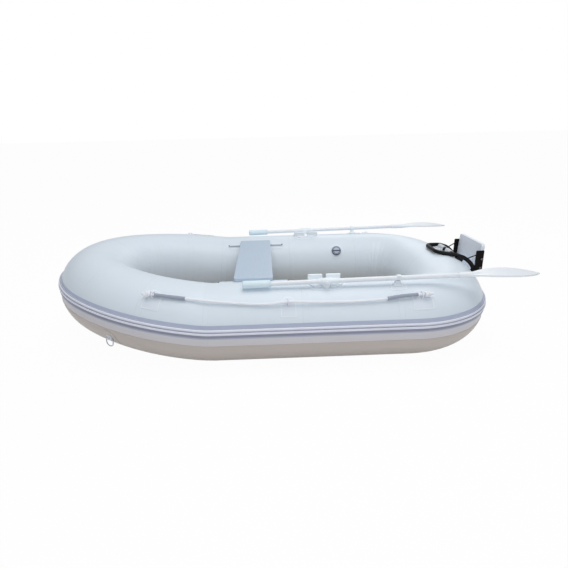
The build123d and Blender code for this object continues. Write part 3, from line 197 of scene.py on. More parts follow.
class Finish:
    """One material, with its shader's own values and the patterns that feed it."""

    def __init__(self, name, colour, roughness, metallic=0.0, **fixed):
        self.material = bpy.data.materials.new(name)
        self.material.use_nodes = True
        self.nodes = self.material.node_tree.nodes
        self.links = self.material.node_tree.links
        self.shader = next(node for node in self.nodes if node.type == "BSDF_PRINCIPLED")
        self.colour = colour
        self.set("Base Color", colour)
        self.set("Roughness", roughness)
        self.set("Metallic", metallic)
        for socket, value in fixed.items():
            self.set(socket.replace("_", " "), value)

    def feed(self, target, value):
        """Link what varies to a socket, or write a fixed value on it."""
        if isinstance(value, Amount):
            value = value.socket
        if isinstance(value, bpy.types.NodeSocket):
            self.links.new(value, target)
        else:
            target.default_value = value

    def set(self, socket, value):
        self.feed(self.shader.inputs[socket], value)

    def node(self, kind, settings=None, **inputs):
        """A node with its settings first; inputs go by name, or as i0, i1 and so on."""
        made = self.nodes.new(kind)
        for key, value in (settings or {}).items():
            setattr(made, key, value)
        for key, value in inputs.items():
            numbered = key[0] == "i" and key[1:].isdigit()
            self.feed(made.inputs[int(key[1:]) if numbered else key.replace("_", " ")], value)
        return made

    def math(self, operation, *terms):
        inputs = {f"i{number}": term for number, term in enumerate(terms)}
        return Amount(self, self.node("ShaderNodeMath", {"operation": operation}, **inputs).outputs[0])

    def place(self):
        return self.node("ShaderNodeTexCoord").outputs["Object"]

    def along_surface(self, name="cloth"):
        """Distances along and round a swept piece, in metres."""
        uv = self.node("ShaderNodeUVMap", {"uv_map": name}).outputs[0]
        parts = self.node("ShaderNodeSeparateXYZ", Vector=uv)
        return Amount(self, parts.outputs[0]), Amount(self, parts.outputs[1])

    def axes(self):
        parts = self.node("ShaderNodeSeparateXYZ", Vector=self.place())
        return [Amount(self, parts.outputs[number]) for number in range(3)]

    def joined(self, x, y, z):
        return self.node("ShaderNodeCombineXYZ", i0=x, i1=y, i2=z).outputs[0]

    def noise(self, scale, detail=3.0, roughness=0.5, vector=None):
        made = self.node(
            "ShaderNodeTexNoise", Vector=vector or self.place(),
            Scale=scale, Detail=detail, Roughness=roughness,
        )
        return Amount(self, made.outputs[0])

    def mix(self, share, first, second):
        """The first colour where share is 0 and the second where it is 1."""
        made = self.node("ShaderNodeMix", {"data_type": "RGBA"}, i0=share, i6=first, i7=second)
        return made.outputs[2]

    def step(self, value, low, high):
        """0 below low, 1 above high, and smooth between."""
        made = self.node(
            "ShaderNodeMapRange", {"interpolation_type": "SMOOTHSTEP"},
            Value=value, From_Min=low, From_Max=high, To_Min=0.0, To_Max=1.0,
        )
        return Amount(self, made.outputs[0])

    def bump(self, height, distance, strength):
        made = self.node("ShaderNodeBump", Height=height, Distance=distance, Strength=strength)
        self.set("Normal", made.outputs[0])

    def dull(self, scale, spread, least):
        """Roughness that drifts between patches of this scale."""
        self.set("Roughness", self.noise(scale) * spread + least)

    def tone(self, amount, lighter, darker, colour=None):
        """Colour that drifts between a lighter and a darker shade of itself."""
        base = colour or self.colour
        light = tuple(min(1.0, part * lighter) for part in base[:3]) + (1.0,)
        dark = tuple(part * darker for part in base[:3]) + (1.0,)
        return self.mix(amount, dark, light)


def weave(along, across, pitch):
    """Over-and-under threads of a plain weave, from 0 to 1."""
    turn = 2 * math.pi / pitch
    return ((along * turn).wave() * (across * turn).wave()) * 0.5 + 0.5


def hull_cloth():
    """The tubes' cloth, with overlapped panel joins every half metre or so, and painted shade on the
    outboard side below the equator.
    """
    finish = Finish("hull_pvc_cloth", paint(224, 234, 243), 0.4, Specular_IOR_Level=0.42)
    along, round_it = finish.along_surface()
    clouds = finish.noise(2.2, 4.0, 0.55)
    tone = finish.tone(clouds, 1.02, 0.97)
    band = edge = None
    for seam in SEAMS:
        away = (along - seam).size()
        overlap = 1 - finish.step(away, 0.0115, 0.0135)
        line = 1 - finish.step((away - 0.0128).size(), 0.0002, 0.0016)
        band = overlap if band is None else band.most(overlap)
        edge = line if edge is None else edge.most(line)
    lengthwise = 1 - finish.step((round_it + 0.5).size(), 0.012, 0.014)
    band = band.most(lengthwise)
    # painted shade: below the outboard equator the cloth is painted a darker, warmer grey
    lower = 1 - finish.step(round_it, -0.03, 0.03)
    shaded = finish.mix(lower, tone, finish.tone(clouds, 1.02, 0.95, paint(216, 213, 217)))
    finish.set("Base Color", finish.mix(edge * 0.14, shaded, paint(192, 200, 208)))
    finish.dull(6.0, 0.12, 0.34)
    threads = weave(along, round_it, pitch=0.0022)
    finish.bump(band * 0.9 + threads * 0.08 + finish.noise(40.0, 2.0, 0.6) * 0.25, 0.0011, 0.6)
    return finish.material


def under_cloth(name, colour, painted_shade=False):
    """Heavier cloth, scuffed and a little dusty; one with painted shade darkens towards the keel."""
    finish = Finish(name, colour, 0.46, Specular_IOR_Level=0.4)
    along, across = finish.along_surface()
    dust = finish.noise(3.4, 5.0, 0.6)
    scuffs = finish.noise(8.0, 4.0, 0.65, finish.joined(along, across * 5.0, 0.0))
    face = finish.tone(dust * 0.6 + scuffs * 0.4, 1.04, 0.92)
    if painted_shade:
        # painted shade: darker from about 25 degrees below the outboard equator, fully dark from about
        # 80 degrees down to the keel
        painted_keel_shade = 1 - finish.step(across, -0.26, -0.08)
        face = finish.mix(painted_keel_shade, face, finish.tone(scuffs, 0.42, 0.32, paint(202, 188, 172)))
    finish.set("Base Color", face)
    finish.set("Roughness", dust * 0.16 + 0.38)
    threads = weave(along, across, pitch=0.0024)
    finish.bump(threads * 0.2 + scuffs * 0.6, 0.0009, 0.35)
    return finish.material


def patch_cloth():
    """Offcuts of the hull's cloth, each with its rim pressed down and a painted highlight along it."""
    finish = Finish("patch_cloth", paint(226, 235, 244), 0.44, Specular_IOR_Level=0.42)
    clouds = finish.noise(14.0, 4.0, 0.55)
    rim, _ = finish.along_surface("rim")
    pressed_and_highlit_rim = 1 - finish.step(rim, 0.17, 0.23)
    tone = finish.tone(clouds, 1.02, 0.965)
    # painted highlight: the band round the rim is painted a paler grey
    finish.set("Base Color", finish.mix(pressed_and_highlit_rim * 0.75, tone, paint(239, 245, 251)))
    along, round_it = finish.along_surface()
    threads = weave(along, round_it, pitch=0.0022)
    finish.dull(9.0, 0.12, 0.38)
    finish.bump(threads * 0.3 - pressed_and_highlit_rim * 0.35 + finish.noise(70.0, 2.0, 0.6) * 0.4, 0.0006, 0.35)
    return finish.material


def saddle_cloth():
    """White quilted cloth: small raised dots in rows, with painted shade in the hollows between them
    and a little random soiling.
    """
    finish = Finish("saddle_cloth", paint(236, 238, 243), 0.6, Sheen_Weight=0.1)
    along, round_it = finish.along_surface()
    dots = weave(along, round_it, pitch=0.0068)
    soiled = finish.noise(55.0, 3.0, 0.6)
    lit_and_unsoiled = dots * 0.6 + soiled * 0.4
    # painted shade: the hollows between the dots are painted grey, and the noise adds random soiling
    finish.set("Base Color", finish.mix(lit_and_unsoiled, paint(176, 180, 190), paint(240, 242, 247)))
    finish.set("Roughness", soiled * 0.2 + 0.5)
    finish.bump(dots, 0.0012, 0.6)
    return finish.material


def strake_rubber():
    """Two pale ribs, with painted shade on their flanks and in the grooves beside them."""
    finish = Finish("strake_rubber", paint(232, 235, 248), 0.38, Specular_IOR_Level=0.45)
    along, across = finish.along_surface()
    streaks = finish.noise(9.0, vector=finish.joined(along, across * 18.0, 0.0))
    tone = finish.tone(streaks, 1.03, 0.93)
    # painted shade: where the map's shade is high the rubber is painted a dark blue-grey
    finish.set("Base Color", finish.mix(finish.step(across, 0.5, 1.0), tone, paint(148, 150, 169)))
    finish.dull(30.0, 0.15, 0.32)
    finish.bump(finish.noise(220.0, 2.0, 0.6), 0.0004, 0.2)
    return finish.material


def edge_tape():
    """Fine woven tape, faded unevenly."""
    finish = Finish("blue_grey_tape", paint(184, 193, 214), 0.46, Specular_IOR_Level=0.4)
    finish.set("Base Color", finish.tone(finish.noise(5.0, 4.0, 0.6), 1.05, 0.93))
    x, y, z = finish.axes()
    threads = weave(x + y, z * 1.4, pitch=0.0018)
    finish.bump(threads * 0.5 + finish.noise(80.0, 2.0, 0.5), 0.0005, 0.25)
    return finish.material


def moulded(name, colour, roughness=0.42, grain=260.0):
    """Injection-moulded plastic: fine spark-eroded grain and a little handling shine."""
    finish = Finish(name, colour, roughness, Specular_IOR_Level=0.5)
    finish.set("Base Color", finish.tone(finish.noise(14.0), 1.04, 0.94))
    finish.dull(18.0, 0.18, roughness - 0.09)
    finish.bump(finish.noise(grain * 4, 2.0, 0.6), 0.0003, 0.25)
    return finish.material


def valve_cap_plastic():
    """The cap's plastic: a darker rim, a painted highlight on the dished face and a band of painted
    shade across it below its middle.
    """
    finish = Finish("valve_cap_plastic", paint(138, 150, 168), 0.38, Specular_IOR_Level=0.5)
    centre = on_tube(*VALVE, 0.0)
    lean = math.radians(VALVE[1])
    x, y, z = finish.axes()
    rise = z * -math.cos(lean) + y.size() * math.sin(lean)
    middle = -centre.z * math.cos(lean) + abs(centre.y) * math.sin(lean)
    across, up = x - centre.x, rise - middle
    away = (across * across + up * up) ** 0.5
    # painted highlight: the dished face inside the rim is painted paler
    face = finish.mix(1 - finish.step(away, 0.017, 0.020), paint(132, 144, 164), paint(186, 197, 214))
    # painted shade: a dark band across the face, a little below the cap's middle
    grip = 1 - finish.step((up + 0.004).size(), 0.004, 0.006)
    finish.set("Base Color", finish.mix(grip, face, paint(92, 102, 122)))
    finish.dull(18.0, 0.18, 0.30)
    finish.bump(finish.noise(900.0, 2.0, 0.6), 0.0003, 0.25)
    return finish.material


def coated_metal(name, colour, roughness, metallic=0.0, gloss=0.25, shine=0.5):
    """Powder-coated metal: slight orange peel and dulled patches."""
    finish = Finish(
        name, colour, roughness, metallic,
        Coat_Weight=gloss, Coat_Roughness=0.2, Specular_IOR_Level=shine,
    )
    finish.set("Base Color", finish.tone(finish.noise(10.0), 1.05, 0.92))
    finish.dull(24.0, 0.16, roughness - 0.08)
    finish.bump(finish.noise(420.0, 2.0, 0.5), 0.0003, 0.2)
    return finish.material


def bare_metal(name, colour, roughness):
    """Metal brushed along the boat."""
    finish = Finish(name, colour, roughness, 1.0)
    x, y, z = finish.axes()
    brushed = finish.noise(60.0, 2.0, 0.5, finish.joined(x * 2.0, y * 30.0, z * 30.0))
    finish.set("Roughness", brushed * 0.2 + (roughness - 0.08))
    finish.set("Base Color", finish.tone(finish.noise(30.0), 1.06, 0.9))
    finish.bump(brushed, 0.0002, 0.15)
    return finish.material


def painted_plywood(name, colour, stretch):
    """Paint with the grain just showing through; stretch draws it out along the board."""
    finish = Finish(name, colour, 0.45, Specular_IOR_Level=0.45)
    grained = finish.joined(*(axis * factor for axis, factor in zip(finish.axes(), stretch)))
    grain = finish.noise(6.0, 6.0, 0.62, grained)
    finish.set("Base Color", finish.tone(grain, 1.06, 0.9))
    finish.dull(9.0, 0.14, 0.38)
    finish.bump(grain * 0.6 + finish.noise(160.0, 2.0, 0.5) * 0.4, 0.0005, 0.3)
    return finish.material


def slat_wood():
    """Plywood with its grain across the boat."""
    finish = Finish("slat_plywood", paint(176, 160, 132), 0.5)
    x, y, z = finish.axes()
    grain = finish.noise(5.0, 7.0, 0.65, finish.joined(x * 30.0, y * 1.5, z * 30.0))
    finish.set("Base Color", finish.mix(grain, paint(140, 120, 92), paint(196, 182, 156)))
    finish.set("Roughness", grain * 0.2 + 0.36)
    finish.bump(grain, 0.0006, 0.35)
    return finish.material


def pale_webbing():
    """Coarse flat-woven strap."""
    finish = Finish("pale_webbing", paint(232, 236, 244), 0.75, Sheen_Weight=0.2)
    x, y, z = finish.axes()
    threads = weave(x + y * 0.4, z + y * 0.7, pitch=0.0026)
    finish.set("Base Color", finish.tone(threads, 1.08, 0.86))
    finish.set("Roughness", threads * 0.15 + 0.68)
    finish.bump(threads, 0.0006, 0.6)
    return finish.material


def braided_rope():
    """Diagonal plaits round a hard-laid white rope."""
    finish = Finish("white_braid", paint(246, 249, 255), 0.6, Sheen_Weight=0.8)
    along, round_it = finish.along_surface()
    plait = weave(along + round_it, along - round_it, pitch=0.0094)
    finish.set("Base Color", finish.tone(plait, 1.0, 0.93))
    finish.set("Roughness", plait * 0.12 + 0.52)
    finish.bump(plait, 0.0009, 0.55)
    return finish.material


def sleeve_cloth():
    """Grey cloth, mottled by handling."""
    finish = Finish("sleeve_cloth", paint(160, 168, 184), 0.6, Sheen_Weight=0.15)
    along, round_it = finish.along_surface()
    threads = weave(along, round_it, pitch=0.0024)
    mottled = threads * 0.4 + finish.noise(50.0) * 0.6
    finish.set("Base Color", finish.tone(mottled, 1.1, 0.86))
    finish.set("Roughness", threads * 0.12 + 0.5)
    finish.bump(threads, 0.0006, 0.5)
    return finish.material


def soft_rubber():
    """Black rubber with a dull bloom."""
    finish = Finish("black_rubber", paint(22, 22, 25), 0.62, Specular_IOR_Level=0.2)
    finish.set("Base Color", finish.tone(finish.noise(30.0), 1.3, 0.8))
    finish.dull(40.0, 0.2, 0.5)
    finish.bump(finish.noise(300.0, 3.0, 0.6), 0.0005, 0.4)
    return finish.material


# ---- making pieces ----------------------------------------------------------------------
def both(*names):
    """The port and the starboard name of each piece."""
    return [f"{side}_{name}" for name in names for side, _ in SIDES]


def clear_selection():
    if bpy.context.object and bpy.context.object.mode != "OBJECT":
        bpy.ops.object.mode_set(mode="OBJECT")
    bpy.ops.object.select_all(action="DESELECT")


def select_only(piece):
    clear_selection()
    bpy.context.view_layer.objects.active = piece
    piece.select_set(True)


def edit_all(piece):
    """Open a piece in edit mode with its whole mesh selected."""
    select_only(piece)
    bpy.ops.object.mode_set(mode="EDIT")
    bpy.ops.mesh.select_all(action="SELECT")


def leave_edit_mode():
    bpy.ops.object.mode_set(mode="OBJECT")


def make_consistent(piece):
    """Turn a closed mesh's faces outwards."""
    edit_all(piece)
    bpy.ops.mesh.normals_make_consistent(inside=False)
    leave_edit_mode()


def enclosed_volume(piece):
    """Volume inside a closed mesh; it is negative where the faces point inwards."""
    piece.data.calc_loop_triangles()
    spots = [vertex.co for vertex in piece.data.vertices]
    corners = ([spots[number] for number in t.vertices] for t in piece.data.loop_triangles)
    return sum(a.dot(b.cross(c)) for a, b, c in corners) / 6


def outward_normals(piece):
    """Turn a thin wall's faces outwards, where the first try can go wrong."""
    make_consistent(piece)
    if enclosed_volume(piece) < 0:
        edit_all(piece)
        bpy.ops.mesh.flip_normals()
        leave_edit_mode()


def smooth(piece, degrees):
    """Smooth shading, with edges sharper than this many degrees kept."""
    select_only(piece)
    bpy.ops.object.shade_smooth_by_angle(angle=math.radians(degrees))


def joined(name, pieces):
    """Make several pieces of one kind into one object."""
    select_only(pieces[0])
    for piece in pieces:
        piece.select_set(True)
    bpy.ops.object.join()
    pieces[0].name = pieces[0].data.name = name
    return pieces[0]


def finish_piece(piece, material, body, slot_name, *replaced):
    """Give a piece its material and body, and hide the frame's nodes that it stands for; slot_name is
    not used.
    """
    piece.data.materials.clear()
    piece.data.materials.append(material)
    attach(piece, body)
    if replaced:
        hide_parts(*replaced)


def apply_modifier(piece, kind, **settings):
    select_only(piece)
    modifier = piece.modifiers.new(kind.lower(), kind)
    for key, value in settings.items():
        setattr(modifier, key, value)
    bpy.ops.object.modifier_apply(modifier=modifier.name)


def thicken(piece, thickness, degrees):
    """Give a sheet its wall, half on each side, and leave it closed and smooth."""
    apply_modifier(piece, "SOLIDIFY", thickness=thickness, offset=0.0)
    outward_normals(piece)
    smooth(piece, degrees)


def at(radius, degrees):
    """A point this far from a centre, at an angle from the first of two axes."""
    turn = math.radians(degrees)
    return radius * math.cos(turn), radius * math.sin(turn)


def frame_at(station):
    """Centre, outboard and upward directions at a distance along the port half ring."""
    centre, out, up = Vector((CROWN_X, 0.0, TUBE_HEIGHT)), Vector((1, 0, 0)), Vector((0, 0, 1))
    for length, bend in zip(RUN_LENGTHS, BENDS):
        share = min(1.0, station / length)
        if bend is None:
            centre = centre + out.cross(up) * (length * share)
        else:
            pivot, axis, turn = bend
            spin = Matrix.Rotation(turn * share, 3, Vector(axis))
            centre = Vector(pivot) + spin @ (centre - Vector(pivot))
            out, up = spin @ out, spin @ up
        if station <= length:
            break
        station -= length
    return centre, out, up


def on_tube(station, angle, height, side=1):
    """A point at an angle round the tube from its outboard equator, clear of the cloth."""
    centre, out, up = frame_at(station)
    turn = math.radians(angle)
    spot = centre + (out * math.cos(turn) + up * math.sin(turn)) * (TUBE_RADIUS + height)
    return Vector((spot.x, spot.y * side, spot.z))


def arc_degrees(distance):
    """The angle that a distance round the tube spans."""
    return math.degrees(distance / TUBE_RADIUS)


def sweep_half_ring(name, outline):
    """Turn and extrude an outline round the port half ring, from the stern to the nose.

    The outline is closed, and its points are outboard and up from the tube's centre.
    """
    clear_selection()
    bpy.ops.mesh.primitive_circle_add(
        vertices=len(outline), radius=TUBE_RADIUS,
        location=(CROWN_X, 0, TUBE_HEIGHT), rotation=(math.pi / 2, 0, 0),
    )
    piece = bpy.context.object
    piece.name = piece.data.name = name
    bpy.ops.object.transform_apply(location=True, rotation=True, scale=True)
    for vertex, (out, up) in zip(piece.data.vertices, outline):
        vertex.co = (CROWN_X + out, 0.0, TUBE_HEIGHT + up)
    edit_all(piece)
    for length, steps, bend in zip(RUN_LENGTHS, RUN_STEPS, BENDS):
        if bend:
            centre, axis, turn = bend
            bpy.ops.mesh.spin(steps=steps, dupli=False, angle=-turn, center=centre, axis=axis)
            continue
        for _ in range(steps):
            bpy.ops.mesh.extrude_region_move(
                TRANSFORM_OT_translate={"value": (-length / steps, 0, 0)}
            )
    leave_edit_mode()
    return piece


def station_list():
    """The distance of each of the sweep's rings along the half ring."""
    stations, start = [0.0], 0.0
    for length, steps in zip(RUN_LENGTHS, RUN_STEPS):
        stations += [start + length * (number + 1) / steps for number in range(steps)]
        start += length
    return stations


STATIONS = station_list()


def distances(points):
    """How far along a line each of its points lies."""
    travelled = [0.0]
    for before, after in zip(points, points[1:]):
        travelled.append(travelled[-1] + math.dist(before, after))
    return travelled


def lay_cloth_map(piece, along, across):
    """Give a swept piece its distances along and round it, in metres."""
    count = len(across) - 1
    layer = piece.data.uv_layers.new(name="cloth")
    for face in piece.data.polygons:
        slots = [piece.data.loops[loop].vertex_index % count for loop in face.loop_indices]
        wraps = len(slots) == 4 and 0 in slots and count - 1 in slots
        for loop, slot in zip(face.loop_indices, slots):
            ring = piece.data.loops[loop].vertex_index // count
            place = count if wraps and slot == 0 else slot
            layer.data[loop].uv = (along[ring], across[place])


def close_ring(piece):
    """Mirror a port half to starboard and merge the two along the centreline."""
    apply_modifier(
        piece, "MIRROR", use_axis=(False, True, False), use_clip=True,
        use_mirror_merge=True, merge_threshold=MERGE_DISTANCE,
    )
    make_consistent(piece)


def hull_tubes():
    """The blown-up ring, its map starting from the keel."""
    sides = 128
    angles = [-90 + 360 * number / sides for number in range(sides + 1)]
    piece = sweep_half_ring("hull_tubes", [at(TUBE_RADIUS, angle) for angle in angles[:-1]])
    lay_cloth_map(piece, STATIONS, [math.radians(angle) * TUBE_RADIUS for angle in angles])
    pucker(piece, [math.radians(angle) for angle in angles[:-1]])
    close_ring(piece)
    bpy.ops.object.shade_smooth()
    return piece


def pucker(piece, angles):
    """Draw the cloth in along the inside of the turns, where the panels have slack."""
    deepest, fade = 0.0026, 0.06
    sides = len(angles)
    ends = [0.0]
    for length in RUN_LENGTHS:
        ends.append(ends[-1] + length)
    # where the folds start and end, and how far apart they are
    quarter = (ends[1] - 0.05, ends[2] + 0.04, 0.052)
    bow = (ends[4] + 0.1, ends[6], 0.06)
    for ring, station in enumerate(STATIONS):
        depth = 0.0
        for low, high, pitch in (quarter, bow):
            if low < station < high:
                edge = min(1.0, (station - low) / fade, (high - station) / fade)
                uneven = 0.6 * math.sin(station * 31)
                fold = abs(math.sin(math.pi * (station - low) / pitch + uneven))
                depth = deepest * edge * (1 - fold) ** 1.5
        if not depth:
            continue
        centre = Vector((0, 0, 0))
        for slot in range(sides):
            centre += piece.data.vertices[ring * sides + slot].co
        centre /= sides
        for slot, angle in enumerate(angles):
            inboard = max(0.0, -math.cos(angle))
            vertex = piece.data.vertices[ring * sides + slot]
            vertex.co -= (vertex.co - centre).normalized() * depth * inboard**1.5


def strake_outline():
    """Flat base with two round ribs, from its lower edge to its upper edge and back.

    Each point has a painted shade, from 0 on a rib's lit top to 1 on the ribs' flanks, in the grooves
    and on the back.
    """
    seat = TUBE_RADIUS + STRAKE_GAP
    outer = seat + STRAKE_BASE
    # how much painted shade each part takes, from none on the lit rib tops to full in the grooves
    lit_and_unsoiled, between, upper, lower, painted_shade = 0.0, 0.5, 0.6, 0.78, 1.0
    points, shade = [], []

    def add(radius, angle, dark):
        points.append(at(radius, angle))
        shade.append(dark)

    add(seat, STRAKE_LOW, lower)
    add(outer, STRAKE_LOW, lower)
    add(outer, 0.3, lower)
    add(outer, 0.7, painted_shade)
    for middle in RIB_ANGLES:
        for lean in range(-90, 91, 15):
            spot = Vector(at(outer, middle)) + Vector(at(RIB_RADIUS, middle + lean))
            if spot.length < outer:
                spot = spot.normalized() * (outer + 0.0002)
            points.append((spot.x, spot.y))
            shade.append(painted_shade if math.cos(math.radians(lean)) < 0.45 else lit_and_unsoiled)
        if middle == RIB_ANGLES[0]:
            add(outer, sum(RIB_ANGLES) / 2, between)
    add(outer, STRAKE_HIGH, upper)
    add(seat, STRAKE_HIGH, upper)
    for number in range(1, 6):
        add(seat, STRAKE_HIGH - number * 2.3, painted_shade)
    return points, shade


def rubbing_strake():
    """The ribbed rubber strip all round the tubes."""
    points, shade = strake_outline()
    piece = sweep_half_ring("rubbing_strake_ribs", points)
    # the shades go on the map's second axis, where the finish paints them
    lay_cloth_map(piece, STATIONS, shade + shade[:1])
    close_ring(piece)
    smooth(piece, 50)
    return piece


# ---- cloth pieces -----------------------------------------------------------------------
def cloth_band(name, low, high, base):
    """A strip of cloth glued all the way round the ring, between two angles."""
    count = max(4, round((high - low) / 3))
    angles = [low + (high - low) * number / count for number in range(count + 1)]
    inner, outer = TUBE_RADIUS + base, TUBE_RADIUS + base + CLOTH
    outline = [(outer, angle) for angle in angles] + [(inner, angle) for angle in reversed(angles)]
    piece = sweep_half_ring(name, [at(radius, angle) for radius, angle in outline])
    across = [math.radians(angle) * TUBE_RADIUS for _, angle in outline]
    lay_cloth_map(piece, STATIONS, across + across[:1])
    close_ring(piece)
    smooth(piece, 40)
    return piece


def cloth_patch(name, outline, station, angle, base, side, hole):
    """A glued patch that lies on the tube's curve; its outline is aft and up round the tube.

    The hole in its middle is a share of its size, or 0 for none.
    """
    rings, first_inset = 7, 0.97
    clear_selection()
    bpy.ops.mesh.primitive_circle_add(vertices=len(outline), radius=0.03)
    piece = bpy.context.object
    piece.name = piece.data.name = name
    for vertex, (aft, up) in zip(piece.data.vertices, outline):
        vertex.co = (aft, up, 0.0)
    edit_all(piece)
    scale = 1.0
    for number in range(1, rings):
        wanted = first_inset - (first_inset - hole) * (number - 1) / (rings - 1)
        bpy.ops.mesh.extrude_edges_move(TRANSFORM_OT_translate={"value": (0, 0, 0)})
        inset = wanted / scale
        bpy.ops.transform.resize(value=(inset, inset, 1.0), center_override=(0, 0, 0))
        scale = wanted
    if not hole:
        bpy.ops.mesh.extrude_edges_move(TRANSFORM_OT_translate={"value": (0, 0, 0)})
        bpy.ops.mesh.merge(type="CENTER")
    leave_edit_mode()
    flat = [(vertex.co.x, vertex.co.y) for vertex in piece.data.vertices]
    layer = piece.data.uv_layers.new(name="cloth")
    for loop in piece.data.loops:
        layer.data[loop.index].uv = flat[loop.vertex_index]
    rim = piece.data.uv_layers.new(name="rim")
    for loop in piece.data.loops:
        ring = min(loop.vertex_index // len(outline), rings)
        rim.data[loop.index].uv = (ring / rings, 0.0)
    for vertex, (aft, up) in zip(piece.data.vertices, flat):
        vertex.co = on_tube(station - aft, angle + arc_degrees(up), base + CLOTH / 2, side)
    thicken(piece, CLOTH, 40)
    return piece


def rounded_outline(length, width, corner, shift):
    """A rectangle with round corners, as points, moved up by shift."""
    steps = 6
    points = []
    for turn, (x, y) in zip((0, 90, 180, 270), ((1, 1), (-1, 1), (-1, -1), (1, -1))):
        for number in range(steps + 1):
            angle = math.radians(turn + 90 * number / steps)
            points.append((
                x * (length / 2 - corner) + corner * math.cos(angle),
                y * (width / 2 - corner) + corner * math.sin(angle) + shift,
            ))
    return points


def spaced(outline, pitch=0.006):
    """The same outline with points about this far apart along its straight edges."""
    points = []
    for (x, y), (next_x, next_y) in zip(outline, outline[1:] + outline[:1]):
        count = max(1, round(math.hypot(next_x - x, next_y - y) / pitch))
        points += [(x + (next_x - x) * n / count, y + (next_y - y) * n / count) for n in range(count)]
    return points


HOLDER_OUTLINE = [
    (0.034, 0.022), (0.012, 0.046), (-0.012, 0.046), (-0.034, 0.022), (-0.034, -0.050), (0.034, -0.050),
]
PATCH_DROP = 4                  # degrees from a ring down to the middle of its patch
TOW_PATCH_RISE = 3
VALVE_PATCH_RADIUS = 0.048
VALVE_PATCH_HOLE = 0.45

# length, width, corner radius and shift up round the tube
LOCK_PATCH = (0.194, 0.140, 0.066, 0.043)
CLIP_PAD = (0.072, 0.066, 0.010, -0.008)


def patches(cloth, under):
    """Every glued patch, in one piece for each kind; the tow rings' are of the wrap's cloth."""
    holder = spaced(HOLDER_OUTLINE)
    disc = [at(VALVE_PATCH_RADIUS, 6 * number) for number in range(60)]
    lock = spaced(rounded_outline(*LOCK_PATCH), pitch=0.012)
    pad = spaced(rounded_outline(*CLIP_PAD))
    kinds = {
        "grab_line_patches": [
            (holder, station, angle - PATCH_DROP, GLUE, 0.0) for station, angle in RINGS
        ],
        "tow_ring_patches": [(holder, TOW_RING[0], TOW_RING[1] + TOW_PATCH_RISE, CLOTH + GLUE, 0.0)],
        "valve_patches": [(disc, *VALVE, GLUE, VALVE_PATCH_HOLE)],
        "oarlock_patches": [(lock, *LOCK, GLUE, 0.0)],
        "oar_clip_pads": [(pad, *CLIP, GLUE, 0.0)],
    }
    for name, places in kinds.items():
        made = [
            cloth_patch(f"{name}_{number}_{side}", outline, station, angle, base, side, hole)
            for number, (outline, station, angle, base, hole) in enumerate(places)
            for side in (1, -1)
        ]
        nodes = both("oarlock_patch") if name == "oarlock_patches" else [name]
        face = under if name == "tow_ring_patches" else cloth
        finish_piece(joined(f"{name}_cloth", made), face, "hull", "hull_pvc", *nodes)


def strap_profile(bar_height, bar_radius, neck, foot, thickness):
    """A strap's run from one foot, up and over the bar and down to the other foot.

    The neck is half the gap between its two sides, and the foot is each flat end's length.
    """
    middle = bar_radius + thickness / 2
    neck = min(neck, middle)
    corner = min(0.0035, bar_height * 0.3)
    lie = thickness / 2
    half = [(neck + corner + foot * (1 - number / 6), lie) for number in range(6)]
    for number in range(5):
        turn = math.radians(-90 - 22.5 * number)
        half.append((neck + corner + corner * math.cos(turn), lie + corner + corner * math.sin(turn)))
    low = -math.acos(neck / middle)
    for number in range(13):
        turn = low + (math.pi / 2 - low) * number / 12
        half.append((middle * math.cos(turn), bar_height + middle * math.sin(turn)))
    return half + [(-x, z) for x, z in reversed(half[:-1])]


def strap(name, station, angle, profile, width, thickness, base, side, runs_round, steps=8):
    """A strap of one width laid over a bar, running along the tube or round it.

    Its rim map says 1 all over, far from any rim, as its finish may be a patch's.
    """
    clear_selection()
    bpy.ops.mesh.primitive_grid_add(x_subdivisions=len(profile) - 1, y_subdivisions=steps, size=0.02)
    piece = bpy.context.object
    piece.name = piece.data.name = name
    layer = piece.data.uv_layers.active
    layer.name = "cloth"
    travelled = distances(profile)
    count = len(profile)
    for loop in piece.data.loops:
        row, column = divmod(loop.vertex_index, count)
        layer.data[loop.index].uv = (travelled[column], width * (row / steps - 0.5))
    rim = piece.data.uv_layers.new(name="rim")
    for loop in piece.data.loops:
        rim.data[loop.index].uv = (1.0, 0.0)
    for vertex in piece.data.vertices:
        row, column = divmod(vertex.index, count)
        run, height = profile[column]
        across = width * (row / steps - 0.5)
        aft, up = (across, run) if runs_round else (run, across)
        vertex.co = on_tube(station - aft, angle + arc_degrees(up), base + height, side)
    thicken(piece, thickness, 50)
    return piece


